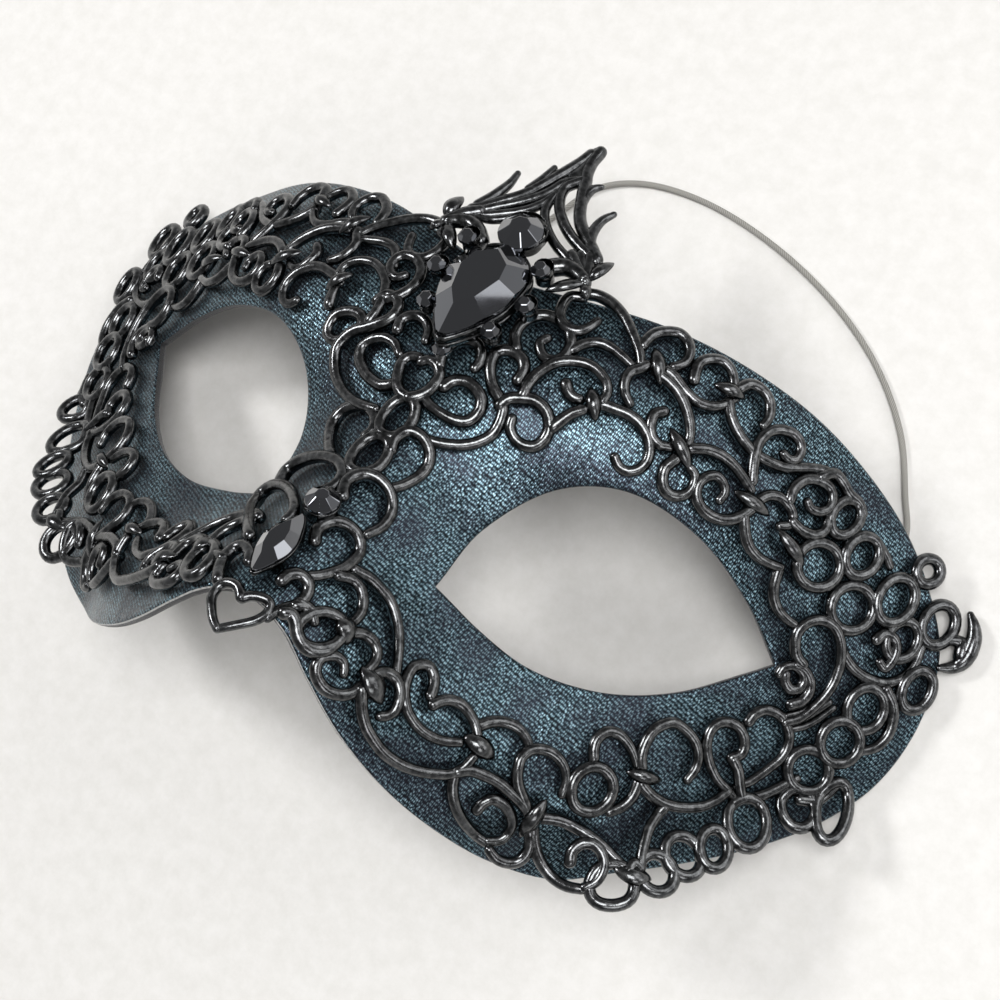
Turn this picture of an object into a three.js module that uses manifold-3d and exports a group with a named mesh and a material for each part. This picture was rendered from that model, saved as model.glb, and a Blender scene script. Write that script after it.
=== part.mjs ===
// A Venetian style half mask lying on its back: a cloth-covered shell that carries cast black scrollwork,
// a crown over the brow, faceted black stones and an elastic cord.
// Millimetres. X runs across the face, Y up the face, Z out of the face and up from the table.

import * as THREE from 'three';
import { ConvexGeometry } from 'three/addons/geometries/ConvexGeometry.js';
import { mergeVertices } from 'three/addons/utils/BufferGeometryUtils.js';
import Module from 'manifold-3d';

const wasm = await Module();
wasm.setup();

// Overall size and place
const halfWidth = 94; // from the nose line to the temple
const bridgeHeight = 46.7; // skin above the table at the bridge
const frameShiftY = -12.9; // brings the middle of the mask's length to the origin
const gap = 0.3; // clearance between pieces that touch

// Curve of the face
const templeDrop = 54.85;
const templeCurve = 2.37;
const templeFlare = 11; // the temples flatten out again towards their edge
const flareStart = 66;
const browLine = 10; // the forehead falls away above this
const foreheadFall = 0.006;
const noseRise = 26.5;
const noseStart = -10;
const noseBlend = 11;
const bridgeHalfWidth = 14;
const nostrilHalfWidth = 26.5;
const bridgeFoot = -14; // the nose widens from here
const nostrilLine = -32; // to here
const socket = { depth: 7, x: 36, width: 26, height: 18 };
const cheekHollow = { depth: 7.5, x: 52, y: -50, width: 12, height: 10 };

// Shell
const shellThickness = 2;
const shellColumns = [0, 5, 11, 18, 27, 37, 48, 58, 68, 78, 86, 94, 102]; // across half the face
const shellReachY = 54;
const shellRows = 9;
const outlineSteps = 52;
const eyeSteps = 7;

// Scrollwork
const wireRadius = 0.8;
const wireSides = 3;
const ringSteps = 5;
const scrollLift = 1.8; // middle of the wire above the skin
const rimStand = 7; // further lift of the rings round the lower temple
const rimFrom = 62;
const rimTo = 73;
const rimFloor = 2; // lowest middle of a wire over the table
const curlStep = 80; // degrees turned by one straight run of wire
const bowRun = 9; // longest straight run in a bow
const leafHalfWidth = 1.1;

// Crown, a flat fan that carries on the slope of the forehead
const crownFoot = 51.6; // height up the face where the fan begins
const crownFootZ = 40.3;
const crownSlope = 0.42;

// Cord
const cordRadius = 0.6;
const cordSides = 8;
const cordSteps = 42;

const degrees = Math.PI / 180;

const clamped = (value) => Math.min(1, Math.max(0, value));
const hump = (offset, width) => Math.exp(-((offset / width) ** 2));

// Height of the mask's outer skin over the table at a place on the face.
function skinHeight(x, y) {
  const side = Math.abs(x);
  const flare = templeFlare * (Math.max(0, side - flareStart) / (halfWidth - flareStart)) ** 2;
  const wrap = templeDrop * (side / halfWidth) ** templeCurve - flare;
  const forehead = foreheadFall * Math.max(0, y - browLine) ** 2;
  const spread = clamped((bridgeFoot - y) / (bridgeFoot - nostrilLine));
  const noseHalfWidth = bridgeHalfWidth + (nostrilHalfWidth - bridgeHalfWidth) * spread;
  const nose = (noseRise * hump(side, noseHalfWidth)) / (1 + Math.exp((y - noseStart) / noseBlend));
  const eye = socket.depth * hump(side - socket.x, socket.width) * hump(y, socket.height);
  const cheek = cheekHollow.depth * hump(side - cheekHollow.x, cheekHollow.width)
    * hump(y - cheekHollow.y, cheekHollow.height);
  return bridgeHeight - wrap - forehead + nose - eye - cheek;
}

// Direction straight out of the skin.
function skinNormal(x, y) {
  const reach = 0.5;
  const slopeX = (skinHeight(x + reach, y) - skinHeight(x - reach, y)) / (2 * reach);
  const slopeY = (skinHeight(x, y + reach) - skinHeight(x, y - reach)) / (2 * reach);
  return new THREE.Vector3(-slopeX, -slopeY, 1).normalize();
}

// A point standing off the skin by a lift, or sunk into it where the lift is negative.
function onSkin(x, y, lift) {
  return new THREE.Vector3(x, y, skinHeight(x, y)).addScaledVector(skinNormal(x, y), lift);
}

// Where the middle of a scroll wire runs. The castings stand clear of the cloth round the lower temple.
function onScroll(x, y, lift = 0) {
  const towardsRim = 0.6 * Math.abs(x) - 0.8 * y;
  const stand = rimStand * clamped((towardsRim - rimFrom) / (rimTo - rimFrom));
  const spot = onSkin(x, y, scrollLift + stand);
  spot.z = Math.max(spot.z, rimFloor);
  return spot.addScaledVector(skinNormal(x, y), lift);
}

// A point on the crown's fan, lifted straight up from it.
function onCrown(x, y, lift = 0) {
  return new THREE.Vector3(x, y, crownFootZ + crownSlope * (crownFoot - y) + lift);
}

// Booleans
function solidOf(geometry) {
  const plain = geometry.clone();
  plain.deleteAttribute('normal');
  plain.deleteAttribute('uv');
  const merged = mergeVertices(plain, 1e-4);
  const mesh = new wasm.Mesh({
    numProp: 3,
    vertProperties: new Float32Array(merged.attributes.position.array),
    triVerts: new Uint32Array(merged.index.array),
  });
  return new wasm.Manifold(mesh);
}

function geometryOf(solid) {
  const mesh = solid.getMesh();
  const geometry = new THREE.BufferGeometry();
  geometry.setAttribute('position', new THREE.BufferAttribute(new Float32Array(mesh.vertProperties), 3));
  geometry.setIndex(new THREE.BufferAttribute(new Uint32Array(mesh.triVerts), 1));
  geometry.computeVertexNormals();
  return geometry;
}

function joined(solids) {
  return solids.reduce((whole, next) => whole.add(next));
}

// An upright prism over an outline on the face.
function prism(outline, low, high) {
  const geometry = new THREE.ExtrudeGeometry(outline, { depth: high - low, bevelEnabled: false, steps: 1 });
  geometry.translate(0, 0, low);
  return solidOf(geometry);
}

// Moves a geometry made flat round the origin to a place on the face, turned to lie on the surface there.
function laid(geometry, x, y, lift, place) {
  const reach = 0.5;
  const across = place(x + reach, y, lift).sub(place(x - reach, y, lift)).normalize();
  const upward = place(x, y + reach, lift).sub(place(x, y - reach, lift));
  const outward = across.clone().cross(upward).normalize();
  const square = outward.clone().cross(across);
  geometry.applyMatrix4(new THREE.Matrix4().makeBasis(across, square, outward).setPosition(place(x, y, lift)));
  return geometry;
}

// Shell
// Half of the mask's edge, from the top of the brow round the temple to the nose arch.
const edgePlaces = [
  [7, 44.3],
  [18, 46.6],
  [31, 48.9],
  [45, 49.4],
  [58.5, 47.8],
  [70, 43.9],
  [79.5, 38.6],
  [87.2, 31.8],
  [94.8, 21.5],
  [97.3, 8.5],
  [95.8, -4.5],
  [91, -15],
  [83.8, -24.4],
  [75.6, -32.4],
  [66.4, -40],
  [56.4, -47.2],
  [47, -49.2],
  [38.3, -48.1],
  [29.5, -45.2],
  [21.6, -40.7],
  [14.6, -35.1],
  [8, -29.9],
];
const browTop = [0, 43.4];
const noseArch = [0, -27.6];

function maskOutline() {
  const right = edgePlaces.map(([x, y]) => new THREE.Vector3(x, y, 0));
  const left = [...edgePlaces].reverse().map(([x, y]) => new THREE.Vector3(-x, y, 0));
  const places = [new THREE.Vector3(...browTop, 0), ...right, new THREE.Vector3(...noseArch, 0), ...left];
  const loop = new THREE.CatmullRomCurve3(places, true);
  const edge = loop.getSpacedPoints(outlineSteps).slice(0, -1);
  return new THREE.Shape(edge.map(({ x, y }) => new THREE.Vector2(x, y)));
}

// The almond eye hole: an upper and a lower lid that meet at a corner by the nose and one by the temple.
const upperLid = [
  [19, -11.8],
  [20.2, 0.5],
  [27.6, 12.4],
  [38.7, 18.4],
  [52.2, 17.6],
  [63.5, 12],
  [72, 4.8],
];
const lowerLid = [
  [72, 4.8],
  [68.4, 0.6],
  [60.3, -8],
  [50.4, -14],
  [38.8, -16.4],
  [28.5, -14.8],
  [19, -11.8],
];

function eyeOutline(side) {
  const lidPoints = (lid) => new THREE.SplineCurve(lid.map(([x, y]) => new THREE.Vector2(x, y))).getPoints(eyeSteps);
  const points = [...lidPoints(upperLid).slice(0, -1), ...lidPoints(lowerLid).slice(0, -1)];
  return new THREE.Shape(points.map(({ x, y }) => new THREE.Vector2(side * x, y)));
}

// The curved sheet before it is trimmed: an outer skin, an inner skin and the four sides between them.
function curvedSheet() {
  const columns = [...shellColumns.slice(1).reverse().map((x) => -x), ...shellColumns];
  const rowAt = (row) => -shellReachY + (2 * shellReachY * row) / shellRows;
  const place = (column, row, lift) => onSkin(columns[column], rowAt(row), lift).toArray();
  const positions = [];
  const quad = (a, b, c, d) => positions.push(...a, ...b, ...c, ...a, ...c, ...d);
  const last = columns.length - 1;
  for (let column = 0; column < last; column++) {
    for (let row = 0; row < shellRows; row++) {
      const corners = (lift) => [
        place(column, row, lift),
        place(column + 1, row, lift),
        place(column + 1, row + 1, lift),
        place(column, row + 1, lift),
      ];
      quad(...corners(0));
      quad(...corners(-shellThickness).reverse());
    }
    for (const [row, from, to] of [[0, column, column + 1], [shellRows, column + 1, column]]) {
      quad(place(from, row, -shellThickness), place(to, row, -shellThickness), place(to, row, 0), place(from, row, 0));
    }
  }
  for (let row = 0; row < shellRows; row++) {
    for (const [column, from, to] of [[0, row + 1, row], [last, row, row + 1]]) {
      quad(
        place(column, from, -shellThickness),
        place(column, to, -shellThickness),
        place(column, to, 0),
        place(column, from, 0),
      );
    }
  }
  const geometry = new THREE.BufferGeometry();
  geometry.setAttribute('position', new THREE.Float32BufferAttribute(positions, 3));
  return solidOf(geometry);
}

function shellSolid() {
  const above = 120;
  return curvedSheet()
    .intersect(prism(maskOutline(), 0, above))
    .subtract(prism(eyeOutline(1), -1, above))
    .subtract(prism(eyeOutline(-1), -1, above));
}

// Strokes of the scrollwork: each gives the places on the face that a wire runs through.

// A curl round a centre that starts at one reach and angle and tightens or opens to another.
function curl(x, y, startReach, endReach, from, turn) {
  const steps = Math.max(2, Math.ceil(Math.abs(turn) / curlStep));
  return Array.from({ length: steps + 1 }, (_, step) => {
    const along = step / steps;
    const angle = (from + turn * along) * degrees;
    const reach = startReach + (endReach - startReach) * along ** 2;
    return [x + reach * Math.cos(angle), y + reach * Math.sin(angle)];
  });
}

// An arc from one place to another. A positive rise bulges to the left of the way it runs.
function bow(fromX, fromY, toX, toY, rise) {
  const chord = Math.hypot(toX - fromX, toY - fromY);
  const half = 2 * Math.atan((2 * rise) / chord);
  const radius = chord / (2 * Math.sin(half));
  const steps = Math.max(2, Math.ceil(Math.abs(2 * half * radius) / bowRun));
  const alongX = (toX - fromX) / chord;
  const alongY = (toY - fromY) / chord;
  return Array.from({ length: steps + 1 }, (_, step) => {
    const angle = half * (1 - (2 * step) / steps);
    const run = chord / 2 - radius * Math.sin(angle);
    const off = radius * (Math.cos(angle) - Math.cos(half));
    return [fromX + alongX * run - alongY * off, fromY + alongY * run + alongX * off];
  });
}

// One wire that follows several strokes in turn.
function run(...strokes) {
  const closest = 1.2;
  return strokes.flat().filter(([x, y], index, all) => {
    const before = all[index - 1];
    return !before || Math.hypot(x - before[0], y - before[1]) > closest;
  });
}

// A stroke and its mirror image across the nose line, as one.
const spanning = (stroke) => [...stroke.slice(1).reverse().map(([x, y]) => [-x, y]), ...stroke];

// A wire bent along a stroke.
function wire(stroke, side = 1, place = onScroll) {
  const path = new THREE.CatmullRomCurve3(stroke.map(([x, y]) => place(side * x, y)));
  const section = new THREE.Shape(
    Array.from({ length: wireSides }, (_, corner) => {
      const angle = (corner / wireSides) * 2 * Math.PI;
      return new THREE.Vector2(wireRadius * Math.cos(angle), wireRadius * Math.sin(angle));
    }),
  );
  return solidOf(new THREE.ExtrudeGeometry(section, { steps: stroke.length - 1, extrudePath: path }));
}

// A closed oval of wire.
function ring([x, y, reachX, reachY], side = 1, place = onScroll) {
  const geometry = new THREE.TorusGeometry(1, 0.5, wireSides, ringSteps);
  const points = geometry.attributes.position;
  for (let index = 0; index < points.count; index++) {
    const angle = Math.atan2(points.getY(index), points.getX(index));
    const out = (Math.hypot(points.getX(index), points.getY(index)) - 1) * 2 * wireRadius;
    const ringX = x + (reachX + out) * Math.cos(angle);
    const ringY = y + (reachY + out) * Math.sin(angle);
    const spot = place(side * ringX, ringY, points.getZ(index) * 2 * wireRadius);
    points.setXYZ(index, spot.x, spot.y, spot.z);
  }
  if (side < 0) {
    geometry.index.array.reverse();
  }
  return solidOf(geometry);
}

// A pointed leaf clasped over the wires.
function leaf([x, y, length, lean], side = 1, place = onScroll) {
  const geometry = new THREE.OctahedronGeometry(1, 0);
  geometry.scale(length / 2, leafHalfWidth, leafHalfWidth);
  geometry.rotateZ((side > 0 ? lean : 180 - lean) * degrees);
  return solidOf(laid(geometry, side * x, y, 0.5, place));
}

// A round cup or pad that carries a stone. Its top is level with the lift.
function cup(x, y, radius, depth, lift, place) {
  const geometry = new THREE.CylinderGeometry(radius, radius, depth, cupFaces);
  geometry.rotateX(90 * degrees);
  return solidOf(laid(geometry, x, y, lift - depth / 2, place));
}

// A flat plate over an outline. Its top is level with the lift.
function plate(outline, y, depth, lift, place) {
  const shape = new THREE.Shape(outline.map(([along, up]) => new THREE.Vector2(along, up)));
  const geometry = new THREE.ExtrudeGeometry(shape, { depth, bevelEnabled: false });
  geometry.translate(0, 0, -depth);
  return solidOf(laid(geometry, 0, y, lift, place));
}

const grown = (outline, scale) => outline.map(([x, y]) => [x * scale, y * scale]);

// A cut stone: a narrower foot, the girdle, then facets up to a flat table.
function stone(outline, height, x, y, lift, place) {
  const tier = (scale, level) => grown(outline, scale).map(([along, up]) => new THREE.Vector3(along, up, level));
  const points = [...tier(0.85, 0), ...tier(1, height * 0.35), ...tier(0.55, height)];
  return geometryOf(solidOf(laid(new ConvexGeometry(points), x, y, lift, place)));
}

// Brow band, as it lies on the +X side
const browStrokes = [
  run(curl(16.9, 42.3, 3.4, 3.4, -10, -235), bow(15.6, 45.4, 30.4, 40.2, 3.6), bow(30.4, 40.2, 32.8, 32, -1.2)),
  bow(21.4, 34.6, 32, 39, 2.9),
  run(curl(22.9, 29.4, 5.7, 5.7, 205, -205), curl(35.6, 24.9, 5, 3.6, 125, -225)),
  run([[28.9, 30.2]], bow(28, 28.4, 23.2, 20.8, 0.7)),
  curl(19.9, 20.5, 3.7, 2.8, 155, -290),
  curl(32.6, 43.3, 4.2, 3.7, 190, -235),
  run(bow(35, 40.6, 45.6, 41.8, -3), bow(46.3, 41.6, 54.8, 35.4, -1.6), bow(54.8, 35.4, 69.8, 36.6, -1.6)),
  run([[45.2, 40.6]], curl(49.3, 42.8, 3.4, 3.4, 160, -190)),
  run(bow(33.5, 38.8, 44.3, 30.2, 2.8), bow(44.8, 29.9, 56, 29.2, 2.7), curl(61, 28.6, 3, 2.6, 170, -260)),
  run(
    [[44.2, 29.4]],
    curl(45.9, 24.5, 2.9, 2.9, 125, 290),
    bow(48.6, 25, 57.4, 25.8, -3.4),
    bow(57.6, 25.6, 66.2, 20.4, -2.9),
    bow(66.6, 20.2, 74, 12.2, -2.8),
  ),
  run(curl(76.8, 11.9, 3.9, 3.9, 255, -250), bow(81.6, 11, 90.4, 21.8, -3.6)),
  bow(92.6, 24.2, 97.2, 30.4, -1.4),
];
const browRings = [
  [71, 34.4, 2.4, 3.7],
  [75.2, 29.3, 2.9, 4.3],
  [70.3, 24.2, 3.3, 3.9],
  [78.2, 20.8, 3.5, 4.4],
  [83.3, 25.4, 3.1, 4.4],
  [89.8, 25.6, 3.4, 4.6],
  [92.4, 13.6, 2.9, 4.4],
];
const browLeaves = [
  [32.4, 39.8, 6.5, -60],
  [27.2, 28.6, 6.5, -55],
  [43.4, 30, 5.5, -40],
];

// Cheek band, as it lies on the +X side
const cheekStrokes = [
  run(bow(79.8, 8.5, 79.6, -2.6, 0.8), [[77.4, -3]]),
  run(curl(75, -5.8, 3.6, 3.9, 185, -190), bow(79, -7, 75.6, -16.4, 0.8), [[76, -18.6]]),
  run(curl(64, -17.9, 4.4, 4.2, -25, 265), bow(62, -22.7, 75.2, -18.6, -4.4)),
  run(curl(56.3, -22.4, 3, 3, 220, -215), [[60.8, -23]], bow(60, -24.6, 59.4, -31.6, 1.2)),
  bow(66.5, -24.6, 65.9, -38.4, -1.3),
  [[64.7, -31.6], [68.4, -32]],
  run(curl(48.5, -31.4, 3.7, 3.7, -35, 215), bow(44.9, -31.5, 48.9, -37.2, -0.8)),
  run([[29.2, -34.8]], curl(32.5, -31, 3.6, 3.6, 180, -160), curl(41.4, -30.8, 4.4, 4.2, 165, -150)),
  bow(24.5, -27.6, 36.3, -32.9, -4.4),
  run(bow(21.1, -31.2, 38.2, -33.3, -9), bow(38.4, -36.4, 48.9, -37.2, 1.4), bow(50.6, -37.1, 65.8, -37.6, 1.9)),
  run(bow(37.9, -34.5, 43.6, -45.2, -3), curl(44.5, -41.4, 3.6, 3, -80, 140)),
  run([[49.2, -37.4]], bow(50.8, -39, 60, -42.4, -2)),
  run(bow(10.1, -17.3, 23.7, -29, 3.2), [[25.2, -29.4]]),
  run([[10.6, -17.6]], bow(11, -19.4, 14.1, -24.6, 2)),
];
const cheekRings = [
  [86.6, 5.3, 2.9, 4.1],
  [86.1, -1.7, 3.3, 4],
  [83.6, -8.3, 4.2, 3.9],
  [89.2, -12.2, 2.8, 5.2],
  [77.5, -21.9, 2.9, 4.1],
  [70.7, -32.3, 2.9, 3.2],
  [11.8, -27.6, 2.7, 3.4],
  [17.4, -32.7, 3.4, 2.9],
  [62.6, -40.6, 3, 3],
];
const cheekLeaves = [
  [61.8, -22.6, 4.5, 20],
  [37.6, -32.6, 4.5, -5],
  [14.2, -25.4, 5, -50],
];

// Middle of the face: strokes that mirror each other, and the loops and seats on the nose line
const nosePairs = [
  run([[3, 20.4], [3, 22.4]], curl(4.5, 25.6, 2.5, 2.3, 235, -255)),
  run([[2.8, 19.6]], curl(7.6, 17.9, 4, 4, 150, -290)),
  run(curl(8.7, 16.9, 6.6, 7, 32, -130), [[2, 9]]),
  bow(7.6, 10.2, 5.2, -1.8, 1.6),
  curl(4.7, -5.4, 3.9, 3.9, 215, -225),
  run(
    curl(4.9, -14.2, 3, 3, 200, -190),
    bow(7.8, -14.7, 6, -20.9, 0.9),
    bow(6.6, -23.4, 4.5, -29.4, 0.4),
  ),
];
// Strokes that start on the nose line and carry on mirrored on its other side
const noseSpans = [
  run([[0, 18.6]], curl(1.5, 20, 1.7, 1.7, 100, -100), bow(3.2, 19.4, 0.1, 14.4, 0.6)),
  run([[0, -27.8]], curl(3.2, -28.6, 1.9, 1.9, 160, -160), bow(5, -28.8, 0.1, -35, 0.6)),
];
const noseRings = [
  [0, 10.2, 2.4, 4],
  [0, 1.8, 2.4, 4],
];

// Crown ribs on the +X side, on the fan
const crownRibs = [
  run(bow(1, 70, 9.8, 55, -1.6), bow(9.8, 55, 14.4, 48.6, 0.4)),
  run(bow(0.6, 66, 11.6, 53.4, -2.2), [[13.4, 50.6]]),
  bow(0.8, 56, 12.8, 50.2, -1.7),
  bow(12, 53.6, 10.6, 63.2, 1.6),
  bow(4, 62.4, 5.3, 67.2, 0.9),
  run([[5.6, 46.6]], bow(6.8, 47.6, 14.6, 48.8, 1.2)),
];
const crownLeaves = [
  [15, 51, 7.4, 78],
  [14.4, 46.6, 6, -45],
];
const crownTipY = 69.6;
const crownTip = [
  [1.3, 5.6],
  [-1.3, 5.6],
  [-1.1, 1.5],
  [-2.9, -4.6],
  [0, -5.7],
  [2.9, -4.6],
  [1.1, 1.5],
];
const plateThickness = 1;

// Stones: each outline is half of one, from its lower end to its upper end, measured from its own middle.
const stoneFaces = 8;
const smallStoneFaces = 6;
const cupFaces = 6;
const roundOutline = (radius, faces) =>
  Array.from({ length: faces }, (_, corner) => {
    const angle = ((corner + 0.5) / faces) * 2 * Math.PI;
    return [radius * Math.cos(angle), radius * Math.sin(angle)];
  });
const bothHalves = (half) => [...half, ...half.slice().reverse().filter(([x]) => x > 0).map(([x, y]) => [-x, y])];
const pearOutline = bothHalves([
  [0, -10.8],
  [4.2, -5.6],
  [6.8, 1],
  [6.5, 6],
  [2.9, 10.2],
]);
const marquiseOutline = bothHalves([
  [0, -7],
  [2.6, -3.6],
  [3.7, 0],
  [2.6, 3.6],
  [0, 7],
]);
const pearY = 37.6;
const pearHeight = 4.4;
const crestStone = { y: 51.6, radius: 3.9, lift: 2.2, height: 3.4 };
const noseStone = { y: -9.4, radius: 2.9, height: 2.6 };
const marquiseStone = { y: -18.4, height: 3 };
const smallStoneRadius = 1.7;
const smallStoneHeight = 1.8;
const smallOutline = roundOutline(smallStoneRadius, smallStoneFaces);
const smallStones = [
  [7.8, 45.9, 2.4],
  [9.1, 38.6, 1.8],
  [6.5, 31.7, 0.8],
];
const chinStoneY = 24;
const seatMargin = 0.7; // a seat reaches this far past its stone

// Scrollwork pieces
function band(strokes, rings, leaves, side) {
  return joined([
    ...strokes.map((stroke) => wire(stroke, side)),
    ...rings.map((oval) => ring(oval, side)),
    ...leaves.map((blade) => leaf(blade, side)),
  ]);
}

function noseSolid() {
  return joined([
    ...nosePairs.flatMap((stroke) => [wire(stroke), wire(stroke, -1)]),
    ...noseSpans.map((stroke) => wire(spanning(stroke))),
    ...noseRings.map((oval) => ring(oval)),
    cup(0, chinStoneY, smallStoneRadius + seatMargin / 2, plateThickness, 0.4, onScroll),
    cup(0, noseStone.y, noseStone.radius + seatMargin / 2, plateThickness, 0.4, onScroll),
    plate(grown(marquiseOutline, 1.1), marquiseStone.y, plateThickness, 0.4, onScroll),
  ]);
}

function crownSolid() {
  const ribs = crownRibs.flatMap((stroke) => [wire(stroke, 1, onCrown), wire(stroke, -1, onCrown)]);
  const leaves = crownLeaves.flatMap((blade) => [leaf(blade, 1, onCrown), leaf(blade, -1, onCrown)]);
  const cups = smallStones.flatMap(([x, y, lift]) =>
    [x, -x].map((across) => cup(across, y, smallStoneRadius + seatMargin / 2, lift + 0.9, lift, onCrown)),
  );
  return joined([
    ...ribs,
    ...leaves,
    ...cups,
    plate(crownTip, crownTipY, plateThickness, 0.5, onCrown),
    plate(grown(pearOutline, 1.12), pearY, plateThickness, 0, onCrown),
    cup(0, crestStone.y, crestStone.radius, crestStone.lift + 0.8, crestStone.lift, onCrown),
  ]);
}

// The elastic leaves the inside of the left temple, runs over the table round the crown and goes back under
// the mask to the right temple.
const cordRoute = [
  [84, 15, 3],
  [82.5, 21, 2.2],
  [81, 28, 1.2],
  [80, 34, 0.7],
  [78.8, 39.5, 0.7],
  [75.9, 44.6, 0.7],
  [69.6, 55.2, 0.7],
  [60, 64.9, 0.7],
  [46.4, 73.3, 0.7],
  [28.8, 79.6, 0.7],
  [11.5, 82.1, 0.7],
  [-1.7, 80.4, 0.7],
  [-9.6, 75.8, 0.7],
  [-14.8, 67, 0.7],
  [-21, 57.5, 0.7],
  [-32, 50.5, 0.7],
  [-48, 45, 0.7],
  [-63, 37.5, 0.7],
  [-75, 29, 0.7],
  [-81.5, 21.5, 1.6],
  [-84, 15, 3],
];

function cordGeometry() {
  const path = new THREE.CatmullRomCurve3(cordRoute.map(([x, y, z]) => new THREE.Vector3(x, y, z)));
  const section = new THREE.Shape(
    Array.from({ length: cordSides }, (_, corner) => {
      const angle = (corner / cordSides) * 2 * Math.PI;
      return new THREE.Vector2(cordRadius * Math.cos(angle), cordRadius * Math.sin(angle));
    }),
  );
  const geometry = new THREE.ExtrudeGeometry(section, { steps: cordSteps, extrudePath: path });
  return geometryOf(solidOf(geometry));
}

// Materials
function material(color, metalness, roughness) {
  return new THREE.MeshStandardMaterial({ color, metalness, roughness });
}

const clothFinish = () => material(0x26313f, 0.35, 0.55);
const castFinish = () => material(0x17181b, 0.85, 0.28);
const stoneFinish = () => material(0x0b0b0d, 0.1, 0.06);
const cordFinish = () => material(0x2b2c2e, 0, 0.75);

function named(name, geometry, finish) {
  const mesh = new THREE.Mesh(geometry, finish);
  mesh.name = name;
  return mesh;
}

const mask = new THREE.Group();
mask.position.y = frameShiftY;
mask.add(named('mask_shell', geometryOf(shellSolid()), clothFinish()));
mask.add(named('crown_filigree', geometryOf(crownSolid()), castFinish()));
mask.add(named('nose_filigree', geometryOf(noseSolid()), castFinish()));
for (const [side, word] of [[1, 'left'], [-1, 'right']]) {
  mask.add(named(`brow_filigree_${word}`, geometryOf(band(browStrokes, browRings, browLeaves, side)), castFinish()));
  mask.add(
    named(`cheek_filigree_${word}`, geometryOf(band(cheekStrokes, cheekRings, cheekLeaves, side)), castFinish()),
  );
}
mask.add(named('pear_stone', stone(pearOutline, pearHeight, 0, pearY, gap, onCrown), stoneFinish()));
const { y: crestY, radius: crestRadius, height: crestHeight, lift: crestLift } = crestStone;
const crestCut = stone(roundOutline(crestRadius, stoneFaces), crestHeight, 0, crestY, crestLift + gap, onCrown);
mask.add(named('crest_stone', crestCut, stoneFinish()));
const noseCut = stone(roundOutline(noseStone.radius, stoneFaces), noseStone.height, 0, noseStone.y, 0.4 + gap, onScroll);
mask.add(named('nose_stone', noseCut, stoneFinish()));
const marquiseCut = stone(marquiseOutline, marquiseStone.height, 0, marquiseStone.y, 0.4 + gap, onScroll);
mask.add(named('marquise_stone', marquiseCut, stoneFinish()));
const smallPlaces = smallStones.flatMap(([x, y, lift]) => [[x, y, lift], [-x, y, lift]]);
smallPlaces.forEach(([x, y, lift], index) => {
  const cut = stone(smallOutline, smallStoneHeight, x, y, lift + gap, onCrown);
  mask.add(named(`small_stone_${index + 1}`, cut, stoneFinish()));
});
const chinCut = stone(smallOutline, smallStoneHeight, 0, chinStoneY, 0.4 + gap, onScroll);
mask.add(named('small_stone_7', chinCut, stoneFinish()));
mask.add(named('elastic_cord', cordGeometry(), cordFinish()));

export default mask;
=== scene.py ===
# A black masquerade half mask lying face up: a cloth-covered shell, cast scrollwork, faceted stones and an
# elastic. Face places are in millimetres, X across the face, Y up the face, Z up from the table. The scene
# is in metres.
import math

import bpy
from mathutils import Matrix, Vector
from mathutils.geometry import delaunay_2d_cdt


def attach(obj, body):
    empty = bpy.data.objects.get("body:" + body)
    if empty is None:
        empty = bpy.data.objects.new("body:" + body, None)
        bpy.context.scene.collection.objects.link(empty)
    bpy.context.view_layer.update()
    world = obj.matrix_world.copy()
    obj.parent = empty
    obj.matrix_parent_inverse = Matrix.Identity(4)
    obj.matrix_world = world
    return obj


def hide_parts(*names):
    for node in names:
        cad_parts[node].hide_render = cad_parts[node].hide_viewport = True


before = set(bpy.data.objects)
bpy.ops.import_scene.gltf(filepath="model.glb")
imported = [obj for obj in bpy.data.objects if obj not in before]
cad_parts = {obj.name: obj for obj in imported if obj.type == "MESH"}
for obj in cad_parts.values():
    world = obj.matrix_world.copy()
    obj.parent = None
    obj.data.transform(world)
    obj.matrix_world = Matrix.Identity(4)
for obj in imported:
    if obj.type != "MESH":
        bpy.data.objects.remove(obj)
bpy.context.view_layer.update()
mm = 0.001
faceShift = -12.9  # from the face's own middle to the row's, along Y


def inFrame(spot):
    return Vector((spot[0] * mm, (spot[1] + faceShift) * mm, spot[2] * mm))


# Camera, looking down on the mask from over its left temple, turned on its own axis
cameraView = {
    "target": (10.9, 8.4, 16.7),
    "azimuth": 80.0,
    "elevation": 68.9,
    "roll": -51.9,
    "distance": 319.6,
    "lens": 60.33,
}


def viewAxes():
    azimuth, elevation, roll = (math.radians(cameraView[key]) for key in ("azimuth", "elevation", "roll"))
    flat = math.cos(elevation)
    back = Vector((math.sin(azimuth) * flat, -math.cos(azimuth) * flat, math.sin(elevation)))
    levelRight = Vector((0, 0, 1)).cross(back).normalized()
    levelUp = back.cross(levelRight)
    right = levelRight * math.cos(roll) + levelUp * math.sin(roll)
    up = levelUp * math.cos(roll) - levelRight * math.sin(roll)
    return right, up, back


viewRight, viewUp, viewBack = viewAxes()
viewTarget = inFrame(cameraView["target"])


def aimed(place, back, up):
    right = up.cross(back).normalized()
    turned = Matrix((right, back.cross(right), back)).transposed().to_4x4()
    turned.translation = place
    return turned


def makeCamera():
    camera = bpy.data.objects.new("camera", bpy.data.cameras.new("camera"))
    camera.data.lens = cameraView["lens"]
    camera.data.sensor_width = 36
    camera.data.clip_start = 0.01
    camera.matrix_world = aimed(viewTarget + viewBack * cameraView["distance"] * mm, viewBack, viewUp)
    bpy.context.scene.collection.objects.link(camera)
    bpy.context.scene.camera = camera


makeCamera()
print("camera set")


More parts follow.
